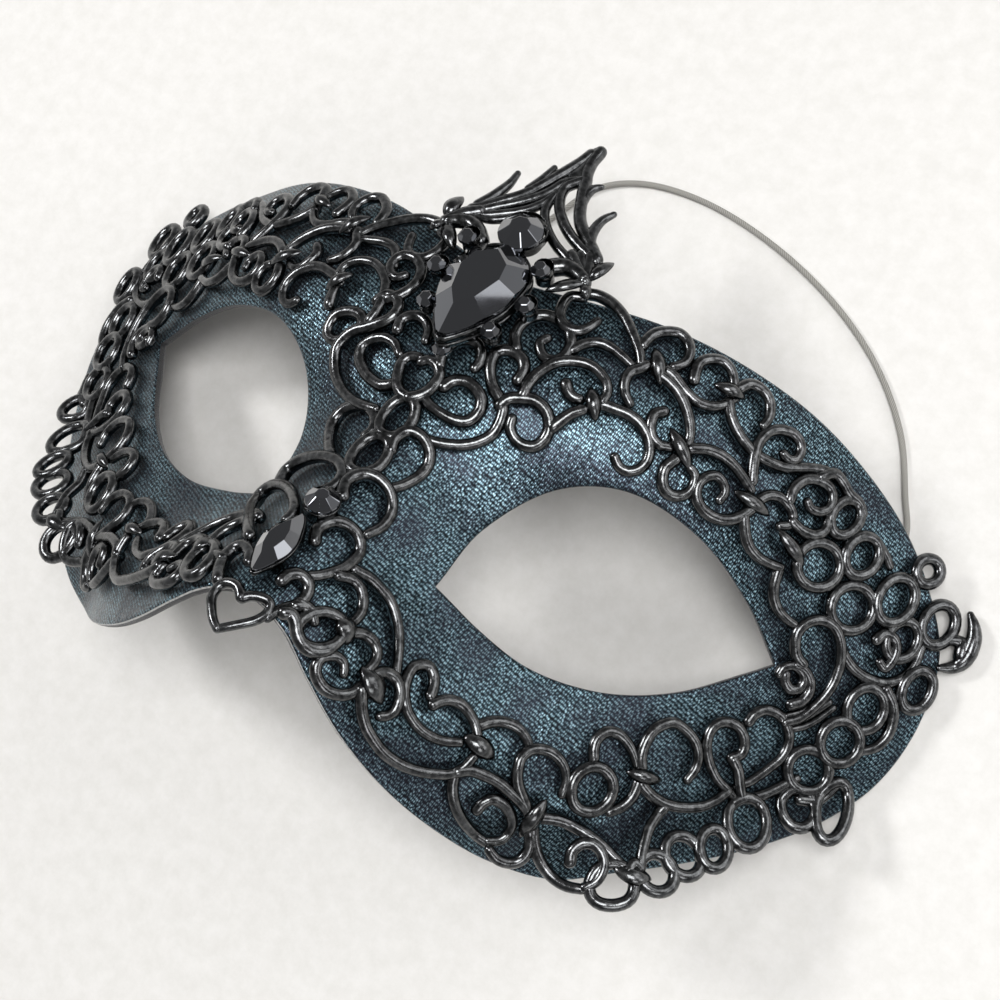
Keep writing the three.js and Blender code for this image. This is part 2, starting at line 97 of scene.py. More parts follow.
# Shapes are gathered here first: corners in face millimetres, faces with the number of their material.
class Shape:
    def __init__(self):
        self.corners = []
        self.faces = []
        self.slots = []
        self.wraps = []  # one list of (u, v) for each face, where the piece has a laid-out surface

    def addCorners(self, spots):
        first = len(self.corners)
        self.corners.extend(Vector(spot) for spot in spots)
        return list(range(first, len(self.corners)))

    def addFace(self, corners, slot=0, wrap=None):
        self.faces.append(list(corners))
        self.slots.append(slot)
        self.wraps.append(wrap)

    def addBand(self, lower, upper, slot=0):
        count = len(lower)
        for here in range(count):
            there = (here + 1) % count
            self.addFace([lower[here], lower[there], upper[there], upper[here]], slot)

    def build(self, name, materials, smooth=True):
        mesh = bpy.data.meshes.new(name)
        for spot in self.corners:
            spot.z = max(spot.z, 0.0)  # the mask's lowest edge rests on the table
        mesh.from_pydata([inFrame(spot) for spot in self.corners], [], self.faces)
        mesh.polygons.foreach_set("material_index", self.slots)
        mesh.polygons.foreach_set("use_smooth", [smooth] * len(self.faces))
        if any(self.wraps):
            layer = mesh.uv_layers.new(name="laid")
            for face, wrap in zip(mesh.polygons, self.wraps):
                for loop, place in zip(face.loop_indices, wrap or [(0, 0)] * len(face.loop_indices)):
                    layer.data[loop].uv = place
        for material in materials:
            mesh.materials.append(material)
        mesh.validate()
        return bpy.data.objects.new(name, mesh)


# A round bar through a row of spots. Each spot has its width and height, and an outward direction.
def addBar(shape, spots, widths, heights, outwards, sides, closed=False):
    count = len(spots)
    rings = []
    for index, spot in enumerate(spots):
        before = spots[(index - 1) % count] if closed else spots[max(0, index - 1)]
        after = spots[(index + 1) % count] if closed else spots[min(count - 1, index + 1)]
        along = (after - before).normalized()
        across = along.cross(outwards[index]).normalized()
        outward = across.cross(along)
        ring = []
        for side in range(sides):
            angle = 2 * math.pi * side / sides
            sideways = across * math.cos(angle) * widths[index]
            ring.append(spot + sideways + outward * math.sin(angle) * heights[index])
        rings.append(shape.addCorners(ring))
    for here in range(count if closed else count - 1):
        shape.addBand(rings[here], rings[(here + 1) % count])
    if not closed:
        shape.addFace(list(reversed(rings[0])))
        shape.addFace(rings[-1])


bulge = ((0.38, 0.93), (0.72, 0.7), (0.95, 0.3))  # reach past a bar's end and width there, in half widths


# Rounds off both ends of a bar by adding short narrowing stretches past them
def roundedEnds(spots, widths, heights, outwards):
    head, tail = (spots[0] - spots[1]).normalized(), (spots[-1] - spots[-2]).normalized()
    reachA, reachB = widths[0], widths[-1]
    newSpots = [spots[0] + head * reachA * out for out, _ in reversed(bulge)] + spots
    newSpots += [spots[-1] + tail * reachB * out for out, _ in bulge]
    grown = []
    for sizes in (widths, heights):
        start = [sizes[0] * left for _, left in reversed(bulge)]
        grown.append(start + list(sizes) + [sizes[-1] * left for _, left in bulge])
    extra = len(bulge)
    return newSpots, grown[0], grown[1], [outwards[0]] * extra + list(outwards) + [outwards[-1]] * extra


# Smooth line through the given points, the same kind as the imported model's
def smoothLine(points, steps, closed=False):
    points = [Vector(point) for point in points]
    count = len(points)
    if not closed:
        first = points[0] * 2 - points[1]
        last = points[-1] * 2 - points[-2]
    line = []
    for start in range(count if closed else count - 1):
        if closed:
            a, b, c, d = (points[(start + step) % count] for step in (-1, 0, 1, 2))
        else:
            a = points[start - 1] if start else first
            b, c = points[start], points[start + 1]
            d = points[start + 2] if start + 2 < count else last
        spans = [max(1e-4, (q - p).length ** 0.5) for p, q in ((a, b), (b, c), (c, d))]
        slopeB = (b - a) / spans[0] - (c - a) / (spans[0] + spans[1]) + (c - b) / spans[1]
        slopeC = (c - b) / spans[1] - (d - b) / (spans[1] + spans[2]) + (d - c) / spans[2]
        slopeB, slopeC = slopeB * spans[1], slopeC * spans[1]
        for step in range(steps):
            t = step / steps
            line.append(
                b * (2 * t**3 - 3 * t**2 + 1) + slopeB * (t**3 - 2 * t**2 + t)
                + c * (3 * t**2 - 2 * t**3) + slopeC * (t**3 - t**2)
            )
    if not closed:
        line.append(points[-1])
    return line


# Colours and nodes
def toLinear(code):
    channels = [int(code[place:place + 2], 16) / 255 for place in (1, 3, 5)]
    return [c / 12.92 if c <= 0.04045 else ((c + 0.055) / 1.055) ** 2.4 for c in channels] + [1]


def addNode(tree, kind, settings=None, links=None):
    node = tree.nodes.new(kind)
    for key, value in (settings or {}).items():
        if isinstance(key, str) and hasattr(node, key):
            setattr(node, key, value)
        else:
            node.inputs[key].default_value = value
    for key, source in (links or {}).items():
        tree.links.new(source, node.inputs[key])
    return node


def newMaterial(name):
    material = bpy.data.materials.new(name)
    material.use_nodes = True
    material.node_tree.nodes.clear()
    return material, material.node_tree


def finishMaterial(tree, settings, links):
    surface = addNode(tree, "ShaderNodeBsdfPrincipled", settings, links)
    addNode(tree, "ShaderNodeOutputMaterial", links={"Surface": surface.outputs["BSDF"]})


def addRamp(tree, source, stops):
    ramp = addNode(tree, "ShaderNodeValToRGB", links={"Fac": source})
    while len(ramp.color_ramp.elements) < len(stops):
        ramp.color_ramp.elements.new(0.5)
    for element, (place, code) in zip(ramp.color_ramp.elements, stops):
        element.position = place
        element.color = toLinear(code)
    return ramp


def finishPiece(piece, *nodes, slot):
    bpy.context.scene.collection.objects.link(piece)
    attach(piece, "root")
    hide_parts(*nodes)
    return piece


# Elastic: a thin covered rubber cord, knitted in fine slanting threads, so it is matt with a fine twist
cordLook = {
    "dark": "#73716c",
    "light": "#9b9993",
    "threadMm": 0.45,
    "roughness": 0.7,
    "reliefMm": 0.06,
}
cordSize = {
    "diameterMm": 1.2,
    "sides": 12,
    "stepsPerStretch": 12,
    "route": [
        (84, 15, 3), (82.5, 21, 2.2), (81, 28, 1.2), (80, 34, 0.7), (78.8, 39.5, 0.7), (75.9, 44.6, 0.7),
        (69.6, 55.2, 0.7), (60, 64.9, 0.7), (46.4, 73.3, 0.7), (28.8, 79.6, 0.7), (11.5, 82.1, 0.7),
        (-1.7, 80.4, 0.7), (-9.6, 75.8, 0.7), (-14.8, 67, 0.7), (-21, 57.5, 0.7), (-32, 50.5, 0.7),
        (-48, 45, 0.7), (-63, 37.5, 0.7), (-75, 29, 0.7), (-81.5, 21.5, 1.6), (-84, 15, 3),
    ],
}


def makeCordMaterial():
    material, tree = newMaterial("knittedElastic")
    place = addNode(tree, "ShaderNodeUVMap", {"uv_map": "laid"})
    bands = addNode(
        tree,
        "ShaderNodeTexWave",
        {
            "bands_direction": "DIAGONAL",
            "Scale": 0.5 / cordLook["threadMm"],
            "Distortion": 0.6,
            "Detail": 1.0,
        },
        {"Vector": place.outputs["UV"]},
    )
    colour = addRamp(tree, bands.outputs["Fac"], [(0.1, cordLook["dark"]), (0.9, cordLook["light"])])
    relief = addNode(
        tree,
        "ShaderNodeBump",
        {"Strength": 0.6, "Distance": cordLook["reliefMm"] * mm},
        {"Height": bands.outputs["Fac"]},
    )
    finishMaterial(
        tree,
        {"Roughness": cordLook["roughness"], "Sheen Weight": 0.15},
        {"Base Color": colour.outputs["Color"], "Normal": relief.outputs["Normal"]},
    )
    return material


def makeCord():
    line = smoothLine(cordSize["route"], cordSize["stepsPerStretch"])
    radius = cordSize["diameterMm"] / 2
    sides = cordSize["sides"]
    shape = Shape()
    outwards = [Vector((0, 0, 1))] * len(line)
    addBar(shape, line, [radius] * len(line), [radius] * len(line), outwards, sides)
    run = 0
    for here in range(len(line) - 1):
        onward = run + (line[here + 1] - line[here]).length
        for side in range(sides):
            low, high = (2 * math.pi * radius * edge / sides for edge in (side, side + 1))
            shape.wraps[here * sides + side] = [(run, low), (run, high), (onward, high), (onward, low)]
        run = onward
    piece = finishPiece(shape.build("elastic", [makeCordMaterial()]), "elastic_cord", slot="elastic")


makeCord()
print("elastic made")

# The face's curve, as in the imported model
faceCurve = {
    "halfWidth": 94,
    "bridgeHeight": 46.7,
    "templeDrop": 54.85,
    "templeCurve": 2.37,
    "templeFlare": 11,
    "flareStart": 66,
    "browLine": 10,
    "foreheadFall": 0.006,
    "noseRise": 26.5,
    "noseStart": -10,
    "noseBlend": 11,
    "bridgeHalfWidth": 14,
    "nostrilHalfWidth": 26.5,
    "bridgeFoot": -14,
    "nostrilLine": -32,
    "socket": (7, 36, 26, 18),  # depth, how far out, half width, half height
    "cheekHollow": (7.5, 52, -50, 12, 10),  # depth, how far out, how far up, half width, half height
}


def clamped(value):
    return min(1, max(0, value))


def eased(share):
    share = clamped(share)
    return share * share * (3 - 2 * share)


def hump(offset, width):
    return math.exp(-((offset / width) ** 2))


def skinHeight(x, y):
    c = faceCurve
    side = abs(x)
    flare = c["templeFlare"] * (max(0, side - c["flareStart"]) / (c["halfWidth"] - c["flareStart"])) ** 2
    wrap = c["templeDrop"] * (side / c["halfWidth"]) ** c["templeCurve"] - flare
    forehead = c["foreheadFall"] * max(0, y - c["browLine"]) ** 2
    spread = clamped((c["bridgeFoot"] - y) / (c["bridgeFoot"] - c["nostrilLine"]))
    noseHalfWidth = c["bridgeHalfWidth"] + (c["nostrilHalfWidth"] - c["bridgeHalfWidth"]) * spread
    nose = c["noseRise"] * hump(side, noseHalfWidth) / (1 + math.exp((y - c["noseStart"]) / c["noseBlend"]))
    depth, out, width, height = c["socket"]
    eye = depth * hump(side - out, width) * hump(y, height)
    depth, out, up, width, height = c["cheekHollow"]
    cheek = depth * hump(side - out, width) * hump(y - up, height)
    return c["bridgeHeight"] - wrap - forehead + nose - eye - cheek


def skinNormal(x, y):
    reach = 0.5
    slopeX = (skinHeight(x + reach, y) - skinHeight(x - reach, y)) / (2 * reach)
    slopeY = (skinHeight(x, y + reach) - skinHeight(x, y - reach)) / (2 * reach)
    return Vector((-slopeX, -slopeY, 1)).normalized()


def onSkin(x, y, lift=0.0):
    return Vector((x, y, skinHeight(x, y))) + skinNormal(x, y) * lift


# Shell: moulded board with cloth drawn over its front, a raw cut edge and black felt behind
shellSize = {
    "meshMm": 1.7,
    "clearShare": 0.6,  # how far the mesh's own points keep from the edge, in meshes
    "reach": (100, 52),  # half the width and height that the mesh fills
    "edgeSteps": 9,
    # distance in from the edge and lift, from the cloth's face round the edge to the felt behind
    "rolls": [(0.9, 0.0), (0.4, -0.05), (0.1, -0.24), (0.0, -0.55), (0.0, -1.15), (0.08, -1.55), (0.9, -2.0)],
    "rollSlots": [0, 0, 1, 2, 2, 2],  # cloth, cut edge or felt on each strip of the rolled edge
}
clothSlot, feltSlot = 0, 2
shellEdge = [
    (0, 43.4), (7, 44.3), (18, 46.6), (31, 48.9), (45, 49.4), (58.5, 47.8), (70, 43.9), (79.5, 38.6),
    (87.2, 31.8), (94.8, 21.5), (97.3, 8.5), (95.8, -4.5), (91, -15), (83.8, -24.4), (75.6, -32.4),
    (66.4, -40), (56.4, -47.2), (47, -49.2), (38.3, -48.1), (29.5, -45.2), (21.6, -40.7), (14.6, -35.1),
    (8, -29.9), (0, -27.6),
]
upperLid = [(19, -11.8), (20.2, 0.5), (27.6, 12.4), (38.7, 18.4), (52.2, 17.6), (63.5, 12), (72, 4.8)]
lowerLid = [(72, 4.8), (68.4, 0.6), (60.3, -8), (50.4, -14), (38.8, -16.4), (28.5, -14.8), (19, -11.8)]


def flatLine(points, steps, closed=False):
    return [Vector((spot.x, spot.y)) for spot in smoothLine([(x, y, 0) for x, y in points], steps, closed)]


def bothHalves(half):
    return list(half) + [(-x, y) for x, y in reversed(half) if x > 0]


def shellLines():
    steps = shellSize["edgeSteps"]
    outer = flatLine(bothHalves(shellEdge), steps, closed=True)
    eye = flatLine(upperLid, steps)[:-1] + flatLine(lowerLid, steps)[:-1]
    otherEye = [Vector((-spot.x, spot.y)) for spot in reversed(eye)]
    return [outer, eye, otherEye]


def area(line):
    return sum(a.x * b.y - b.x * a.y for a, b in zip(line, line[1:] + line[:1])) / 2


# The same line moved into the cloth by a distance
def insetLine(line, inset, intoLeft):
    moved = []
    count = len(line)
    for index, spot in enumerate(line):
        before, after = line[index - 1], line[(index + 1) % count]
        one, two = (spot - before).normalized(), (after - spot).normalized()
        along = (one + two).normalized()
        left = Vector((-along.y, along.x))
        stretch = 1 / max(0.5, along.dot(two))
        moved.append(spot + left * inset * stretch * (1 if intoLeft else -1))
    return moved


def inside(spot, line):
    crossed = False
    for a, b in zip(line, line[1:] + line[:1]):
        if (a.y > spot.y) != (b.y > spot.y) and spot.x < a.x + (spot.y - a.y) * (b.x - a.x) / (b.y - a.y):
            crossed = not crossed
    return crossed


def onCloth(spot, lines):
    outer, eye, otherEye = lines
    return inside(spot, outer) and not inside(spot, eye) and not inside(spot, otherEye)


# Distances along the cloth, so that its threads keep their width on the steep temples
def acrossCloth(x, y):
    longestStep = 3
    steps = max(1, math.ceil(abs(x) / longestStep))
    xs = [x * step / steps for step in range(steps + 1)]
    heights = [skinHeight(at, y) for at in xs]
    stretches = (math.hypot(xs[k + 1] - xs[k], heights[k + 1] - heights[k]) for k in range(steps))
    return math.copysign(sum(stretches), x)


def laidOut(line):
    return [(acrossCloth(spot.x, spot.y), spot.y) for spot in line]


# Fills the shell's outline with triangles except for the eyes, and finds the corner at each border point
def filledOutline(lines, borders, inward):
    points, edges = [], []
    for border in borders:
        first = len(points)
        points += border
        edges += [(first + step, first + (step + 1) % len(border)) for step in range(len(border))]
    onBorder = len(points)
    pitch = shellSize["meshMm"]
    clearance = shellSize["rolls"][0][0] + pitch * shellSize["clearShare"]
    clear = [insetLine(line, clearance, into) for line, into in zip(lines, inward)]
    columns, rows = (int(reach / pitch) for reach in shellSize["reach"])
    for row in range(-rows, rows + 1):
        for column in range(-columns, columns + 1):
            spot = Vector(((column + 0.5 * (row % 2)) * pitch, row * pitch))
            if onCloth(spot, clear):
                points.append(spot)
    flat, _, faces, sources, _, _ = delaunay_2d_cdt(points, edges, [], 0, 1e-5)
    kept = []
    for face in faces:
        middle = sum((flat[corner] for corner in face), Vector((0, 0))) / len(face)
        if onCloth(middle, borders):
            kept.append(face)
    cornerAt = {}
    for corner, source in enumerate(sources):
        for number in source:
            if number < onBorder:
                cornerAt[number] = corner
    return flat, kept, cornerAt


# The rolled edge of one line. The cut board shows round the outside, and felt lines the eye holes.
def addRoll(shape, line, into, eyeHole, frontRing, backRing):
    rolls = shellSize["rolls"]
    rings = [frontRing]
    for inset, lift in rolls[1:-1]:
        moved = insetLine(line, inset, into)
        rings.append(shape.addCorners(onSkin(spot.x, spot.y, lift) for spot in moved))
    rings.append(backRing)
    runs = [0]  # how far each step of the roll is from where it starts, along the cloth
    for (insetA, liftA), (insetB, liftB) in zip(rolls, rolls[1:]):
        runs.append(runs[-1] + math.hypot(insetB - insetA, liftB - liftA))
    places = [laidOut(insetLine(line, rolls[0][0] - run, into)) for run in runs]
    for strip, slot in enumerate(shellSize["rollSlots"]):
        upper, lower = rings[strip], rings[strip + 1]
        over, under = places[strip], places[strip + 1]
        for here in range(len(line)):
            there = (here + 1) % len(line)
            corners = [upper[here], lower[here], lower[there], upper[there]]
            wrap = [over[here], under[here], under[there], over[there]]
            if not into:
                corners.reverse()
                wrap.reverse()
            shape.addFace(corners, feltSlot if eyeHole and slot else slot, wrap)


def makeShell(materials):
    lines = shellLines()
    inward = [area(lines[0]) > 0, area(lines[1]) < 0, area(lines[2]) < 0]
    rolls = shellSize["rolls"]
    borders = [insetLine(line, rolls[0][0], into) for line, into in zip(lines, inward)]
    flat, kept, cornerAt = filledOutline(lines, borders, inward)
    shape = Shape()
    laid = laidOut(flat)
    front = shape.addCorners(onSkin(spot.x, spot.y) for spot in flat)
    back = shape.addCorners(onSkin(spot.x, spot.y, rolls[-1][1]) for spot in flat)
    for face in kept:
        behind = list(reversed(face))
        shape.addFace([front[corner] for corner in face], clothSlot, [laid[corner] for corner in face])
        shape.addFace([back[corner] for corner in behind], feltSlot, [laid[corner] for corner in behind])
    first = 0
    for number, (line, border, into) in enumerate(zip(lines, borders, inward)):
        corners = [cornerAt[first + step] for step in range(len(border))]
        first += len(border)
        frontRing, backRing = ([face[corner] for corner in corners] for face in (front, back))
        addRoll(shape, line, into, number > 0, frontRing, backRing)
    return finishPiece(shape.build("shell", materials), "mask_shell", slot="shell_cloth")


# Cloth: knitted polyester with metallised threads, drawn tight and glued. The stitches lie in close rows and
# each leans its own way, so they glint steel blue where the light catches them. Over a random tone per
# stitch, the colour is painted lighter at each stitch's middle (painted highlight) and near black towards the
# grooves (painted shade between the stitches), with duller violet patches at random.
clothLook = {
    "stitchMm": 0.45,
    "squeeze": 1.25,  # stitches are narrower across the face
    "stretch": 0.66,  # and longer up the face
    "slantDegrees": 7,
    "unevenness": 0.45,
    "grooveAt": 0.62,  # from the stitch's middle to its groove, in stitches
    "faintest": 0.5,  # how bright the dullest stitch is beside the brightest
    # In the ramp, dark is the painted shade in the grooves and light the painted highlight at the middles of
    # the brighter stitches
    "dark": "#090b0e",
    "middle": "#30424c",
    "light": "#9dbcc8",
    "violet": "#24242e",
    "patchMm": 12,
    "patchStrength": 0.6,
    "reliefMm": 0.03,
    "relief": 0.9,
    "lean": 0.2,
    "roughness": 0.3,
    "metallic": 0.85,
    "sheen": 0.05,
}


def makeClothMaterial():
    material, tree = newMaterial("knittedMetallicCloth")
    place = addNode(tree, "ShaderNodeUVMap", {"uv_map": "laid"})
    turned = addNode(
        tree,
        "ShaderNodeMapping",
        {
            "Rotation": (0, 0, math.radians(clothLook["slantDegrees"])),
            "Scale": (clothLook["squeeze"], clothLook["stretch"], 1),
        },
        {"Vector": place.outputs["UV"]},
    )
    stitches = addNode(
        tree,
        "ShaderNodeTexVoronoi",
        {
            "voronoi_dimensions": "2D",
            "Scale": 1 / clothLook["stitchMm"],
            "Randomness": clothLook["unevenness"],
        },
        {"Vector": turned.outputs["Vector"]},
    )
    dome = addNode(
        tree,
        "ShaderNodeMapRange",
        {"From Min": 0.0, "From Max": clothLook["grooveAt"], "To Min": 1.0, "To Max": 0.0},
        {"Value": stitches.outputs["Distance"]},
    )
    shade = addNode(tree, "ShaderNodeSeparateColor", links={"Color": stitches.outputs["Color"]})
    brightness = addNode(
        tree,
        "ShaderNodeMapRange",
        {"To Min": clothLook["faintest"], "To Max": 1.0},
        {"Value": shade.outputs["Blue"]},
    )
    # Each stitch's random tone times its dome, so the colour is painted darker towards the grooves (painted
    # shade) and lighter at the stitch middles (painted highlight)
    stitchToneAndPaintedShading = addNode(
        tree,
        "ShaderNodeMath",
        {"operation": "MULTIPLY"},
        {0: brightness.outputs["Result"], 1: dome.outputs["Result"]},
    )
    colour = addRamp(
        tree,
        stitchToneAndPaintedShading.outputs["Value"],
        [(0.05, clothLook["dark"]), (0.32, clothLook["middle"]), (0.75, clothLook["light"])],
    )
    patches = addNode(
        tree,
        "ShaderNodeTexNoise",
        {"noise_dimensions": "2D", "Scale": 1 / clothLook["patchMm"], "Detail": 2.0},
        {"Vector": place.outputs["UV"]},
    )
    patchy = addNode(
        tree,
        "ShaderNodeMapRange",
        {"From Min": 0.4, "From Max": 0.65, "To Min": 0.0, "To Max": clothLook["patchStrength"]},
        {"Value": patches.outputs["Fac"]},
    )
    toned = addNode(
        tree,
        "ShaderNodeMix",
        {"data_type": "RGBA", "blend_type": "MIX", 7: toLinear(clothLook["violet"])},
        {0: patchy.outputs["Result"], 6: colour.outputs["Color"]},
    )
    relief = addNode(
        tree,
        "ShaderNodeBump",
        {"Strength": clothLook["relief"], "Distance": clothLook["reliefMm"] * mm},
        {"Height": dome.outputs["Result"]},
    )
    offset = addNode(
        tree,
        "ShaderNodeVectorMath",
        {"operation": "SUBTRACT", 1: (0.5, 0.5, 0.5)},
        {0: stitches.outputs["Color"]},
    )
    leaning = addNode(
        tree,
        "ShaderNodeVectorMath",
        {"operation": "SCALE", "Scale": clothLook["lean"]},
        {0: offset.outputs["Vector"]},
    )
    summed = addNode(
        tree,
        "ShaderNodeVectorMath",
        {"operation": "ADD"},
        {0: relief.outputs["Normal"], 1: leaning.outputs["Vector"]},
    )
    facing = addNode(tree, "ShaderNodeVectorMath", {"operation": "NORMALIZE"}, {0: summed.outputs["Vector"]})
    finishMaterial(
        tree,
        {
            "Metallic": clothLook["metallic"],
            "Roughness": clothLook["roughness"],
            "Sheen Weight": clothLook["sheen"],
        },
        {"Base Color": toned.outputs["Result"], "Normal": facing.outputs["Vector"]},
    )
    return material


# Cut edge: pale board and cloth backing, sheared, so it is matt and slightly furry
cutEdgeLook = {"dark": "#6f7072", "light": "#b4b3ae", "fibreMm": 0.5, "roughness": 0.9, "reliefMm": 0.1}
# Felt: pressed black wool behind the shell and in the eye holes, so it stays nearly black from every side
feltLook = {"dark": "#0b0b0c", "light": "#232326", "fibreMm": 0.35, "roughness": 0.95, "reliefMm": 0.15}


def makeFibreMaterial(name, look):
    material, tree = newMaterial(name)
    place = addNode(tree, "ShaderNodeTexCoord")
    fibres = addNode(
        tree,
        "ShaderNodeTexNoise",
        {"Scale": 1 / (look["fibreMm"] * mm), "Detail": 4.0, "Roughness": 0.65},
        {"Vector": place.outputs["Object"]},
    )
    colour = addRamp(tree, fibres.outputs["Fac"], [(0.3, look["dark"]), (0.7, look["light"])])
    bump = addNode(
        tree,
        "ShaderNodeBump",
        {"Strength": 0.8, "Distance": look["reliefMm"] * mm},
        {"Height": fibres.outputs["Fac"]},
    )
    finishMaterial(
        tree,
        {"Roughness": look["roughness"], "Sheen Weight": 0.3},
        {"Base Color": colour.outputs["Color"], "Normal": bump.outputs["Normal"]},
    )
    return material


makeShell([
    makeClothMaterial(),
    makeFibreMaterial("shearedBoardEdge", cutEdgeLook),
    makeFibreMaterial("pressedFelt", feltLook),
])
print("shell made")

# Castings: zinc alloy, tumbled smooth and plated in black nickel, so the wires are dark mirrors with thin
# highlights
castLook = {
    "dark": "#343536",
    "light": "#6c6d6e",
    "grainMm": 1.0,
    "roughness": 0.19,
    "spread": (0.6, 1.6),  # from the smoothest to the roughest spots, in roughnesses
    "reliefMm": 0.07,
}


def makeCastMaterial():
    material, tree = newMaterial("blackNickelPlate")
    place = addNode(tree, "ShaderNodeTexCoord")
    ripples = addNode(
        tree,
        "ShaderNodeTexNoise",
        {"Scale": 1 / (castLook["grainMm"] * mm), "Detail": 3.0, "Roughness": 0.55},
        {"Vector": place.outputs["Object"]},
    )
    colour = addRamp(tree, ripples.outputs["Fac"], [(0.3, castLook["dark"]), (0.7, castLook["light"])])
    smoothest, roughest = (castLook["roughness"] * share for share in castLook["spread"])
    rough = addNode(
        tree,
        "ShaderNodeMapRange",
        {"To Min": smoothest, "To Max": roughest},
        {"Value": ripples.outputs["Fac"]},
    )
    relief = addNode(
        tree,
        "ShaderNodeBump",
        {"Strength": 0.5, "Distance": castLook["reliefMm"] * mm},
        {"Height": ripples.outputs["Fac"]},
    )
    finishMaterial(
        tree,
        {"Metallic": 1.0},
        {
            "Base Color": colour.outputs["Color"],
            "Roughness": rough.outputs["Result"],
            "Normal": relief.outputs["Normal"],
        },
    )
    return material


castMaterial = makeCastMaterial()

scrollSize = {
    "wireMm": 1.15,  # half the wire's width
    "lift": 1.8,  # middle of the wire above the cloth
    "rimStand": 7,  # how much further it stands off at the lower temple's rim
    "rimStandRight": 3.2,  # the right half's brow band is set flatter
    "flatFrom": -16,
    "flatOver": 14,
    "towardsRim": (0.6, -0.8),
    "rimFrom": 62,
    "rimTo": 73,
    "rimFloor": 2,
    "sides": 12,
    "steps": 4,
    "ringSteps": 28,
    "tipShare": 0.8,  # how thin a curl's inner end is
    "weave": 0.3,  # wires pass a little over and under each other
    "weaveTurns": {"wires": 2.1, "rings": 1.7},
    "noseShare": 1.08,  # thickness of other wires beside the bands' own
    "heartShare": 0.82,
    "dropShare": 1.4,
    "dropTip": 0.4,
    "ribShare": 0.6,
    "crownShare": 0.9,
}


def onScroll(x, y, lift=0.0):
    s = scrollSize
    across, up = s["towardsRim"]
    towardsRim = across * abs(x) + up * y
    flatter = eased((y - s["flatFrom"]) / s["flatOver"]) if x < 0 else 0
    full = s["rimStand"] + (s["rimStandRight"] - s["rimStand"]) * flatter
    stand = full * clamped((towardsRim - s["rimFrom"]) / (s["rimTo"] - s["rimFrom"]))
    spot = onSkin(x, y, s["lift"] + stand)
    spot.z = max(spot.z, s["rimFloor"])
    return spot + skinNormal(x, y) * lift


crownPlane = {"height": 40.3, "at": 51.6, "slope": 0.42, "wireLift": 0.3}


def onCrown(x, y, lift=0.0):
    return Vector((x, y, crownPlane["height"] + crownPlane["slope"] * (crownPlane["at"] - y) + lift))


def mirroredStroke(stroke, side):
    return [(side * x, y) for x, y in stroke]


def addWire(shape, stroke, place, thick=1.0, tip=1.0, lift=0.0):
    flat = smoothLine([(x, y, 0) for x, y in stroke], scrollSize["steps"])
    spots = [place(at.x, at.y, lift) for at in flat]
    outwards = [(place(at.x, at.y, 1) - place(at.x, at.y)).normalized() for at in flat]
    radius = scrollSize["wireMm"] * thick
    count = len(spots) - 1
    sizes = [radius * (1 + (tip - 1) * (index / count) ** 2) for index in range(count + 1)]
    addBar(shape, *roundedEnds(spots, sizes, sizes, outwards), scrollSize["sides"])


def addRing(shape, oval, side, place, lift=0.0):
    x, y, reachX, reachY = oval
    count = scrollSize["ringSteps"]
    spots, outwards = [], []
    for step in range(count):
        angle = 2 * math.pi * step / count
        at = (side * (x + reachX * math.cos(angle)), y + reachY * math.sin(angle))
        spots.append(place(*at, lift))
        outwards.append((place(*at, 1) - place(*at)).normalized())
    if side < 0:
        spots.reverse()
        outwards.reverse()
    radius = scrollSize["wireMm"]
    addBar(shape, spots, [radius] * count, [radius] * count, outwards, scrollSize["sides"], closed=True)


# A pointed leaf bent over the wires it clasps, with a ridge down its back
leafSize = {
    "halfWidth": 1.3,
    "arch": 0.9,
    "ridge": 0.85,
    "steps": 12,
    "stand": 0.6,
    # once round it, in half widths and in ridges
    "section": [(1, 0), (0.55, 0.55), (0, 1), (-0.55, 0.55), (-1, 0), (-0.5, -0.6), (0.5, -0.6)],
}


def addLeaf(shape, leaf, side, place, broad=1.0):
    x, y, length, lean = leaf
    lean = math.radians(lean if side > 0 else 180 - lean)
    alongX, alongY = math.cos(lean), math.sin(lean)
    rings = []
    for step in range(leafSize["steps"] + 1):
        along = step / leafSize["steps"]
        reach = (along - 0.5) * length
        share = max(0.1, math.sin(math.pi * along) ** 0.6)
        half = leafSize["halfWidth"] * share * broad
        rise = leafSize["stand"] + leafSize["arch"] * (math.sin(math.pi * along) - 0.35)
        middle = (side * x + alongX * reach, y + alongY * reach)

        def at(out, up):
            return place(middle[0] - alongY * out, middle[1] + alongX * out, rise + up)

        ridge = leafSize["ridge"] * share
        rings.append(shape.addCorners(at(half * out, ridge * up) for out, up in leafSize["section"]))
    for before, after in zip(rings, rings[1:]):
        shape.addBand(before, after)
    shape.addFace(list(reversed(rings[0])))
    shape.addFace(rings[-1])


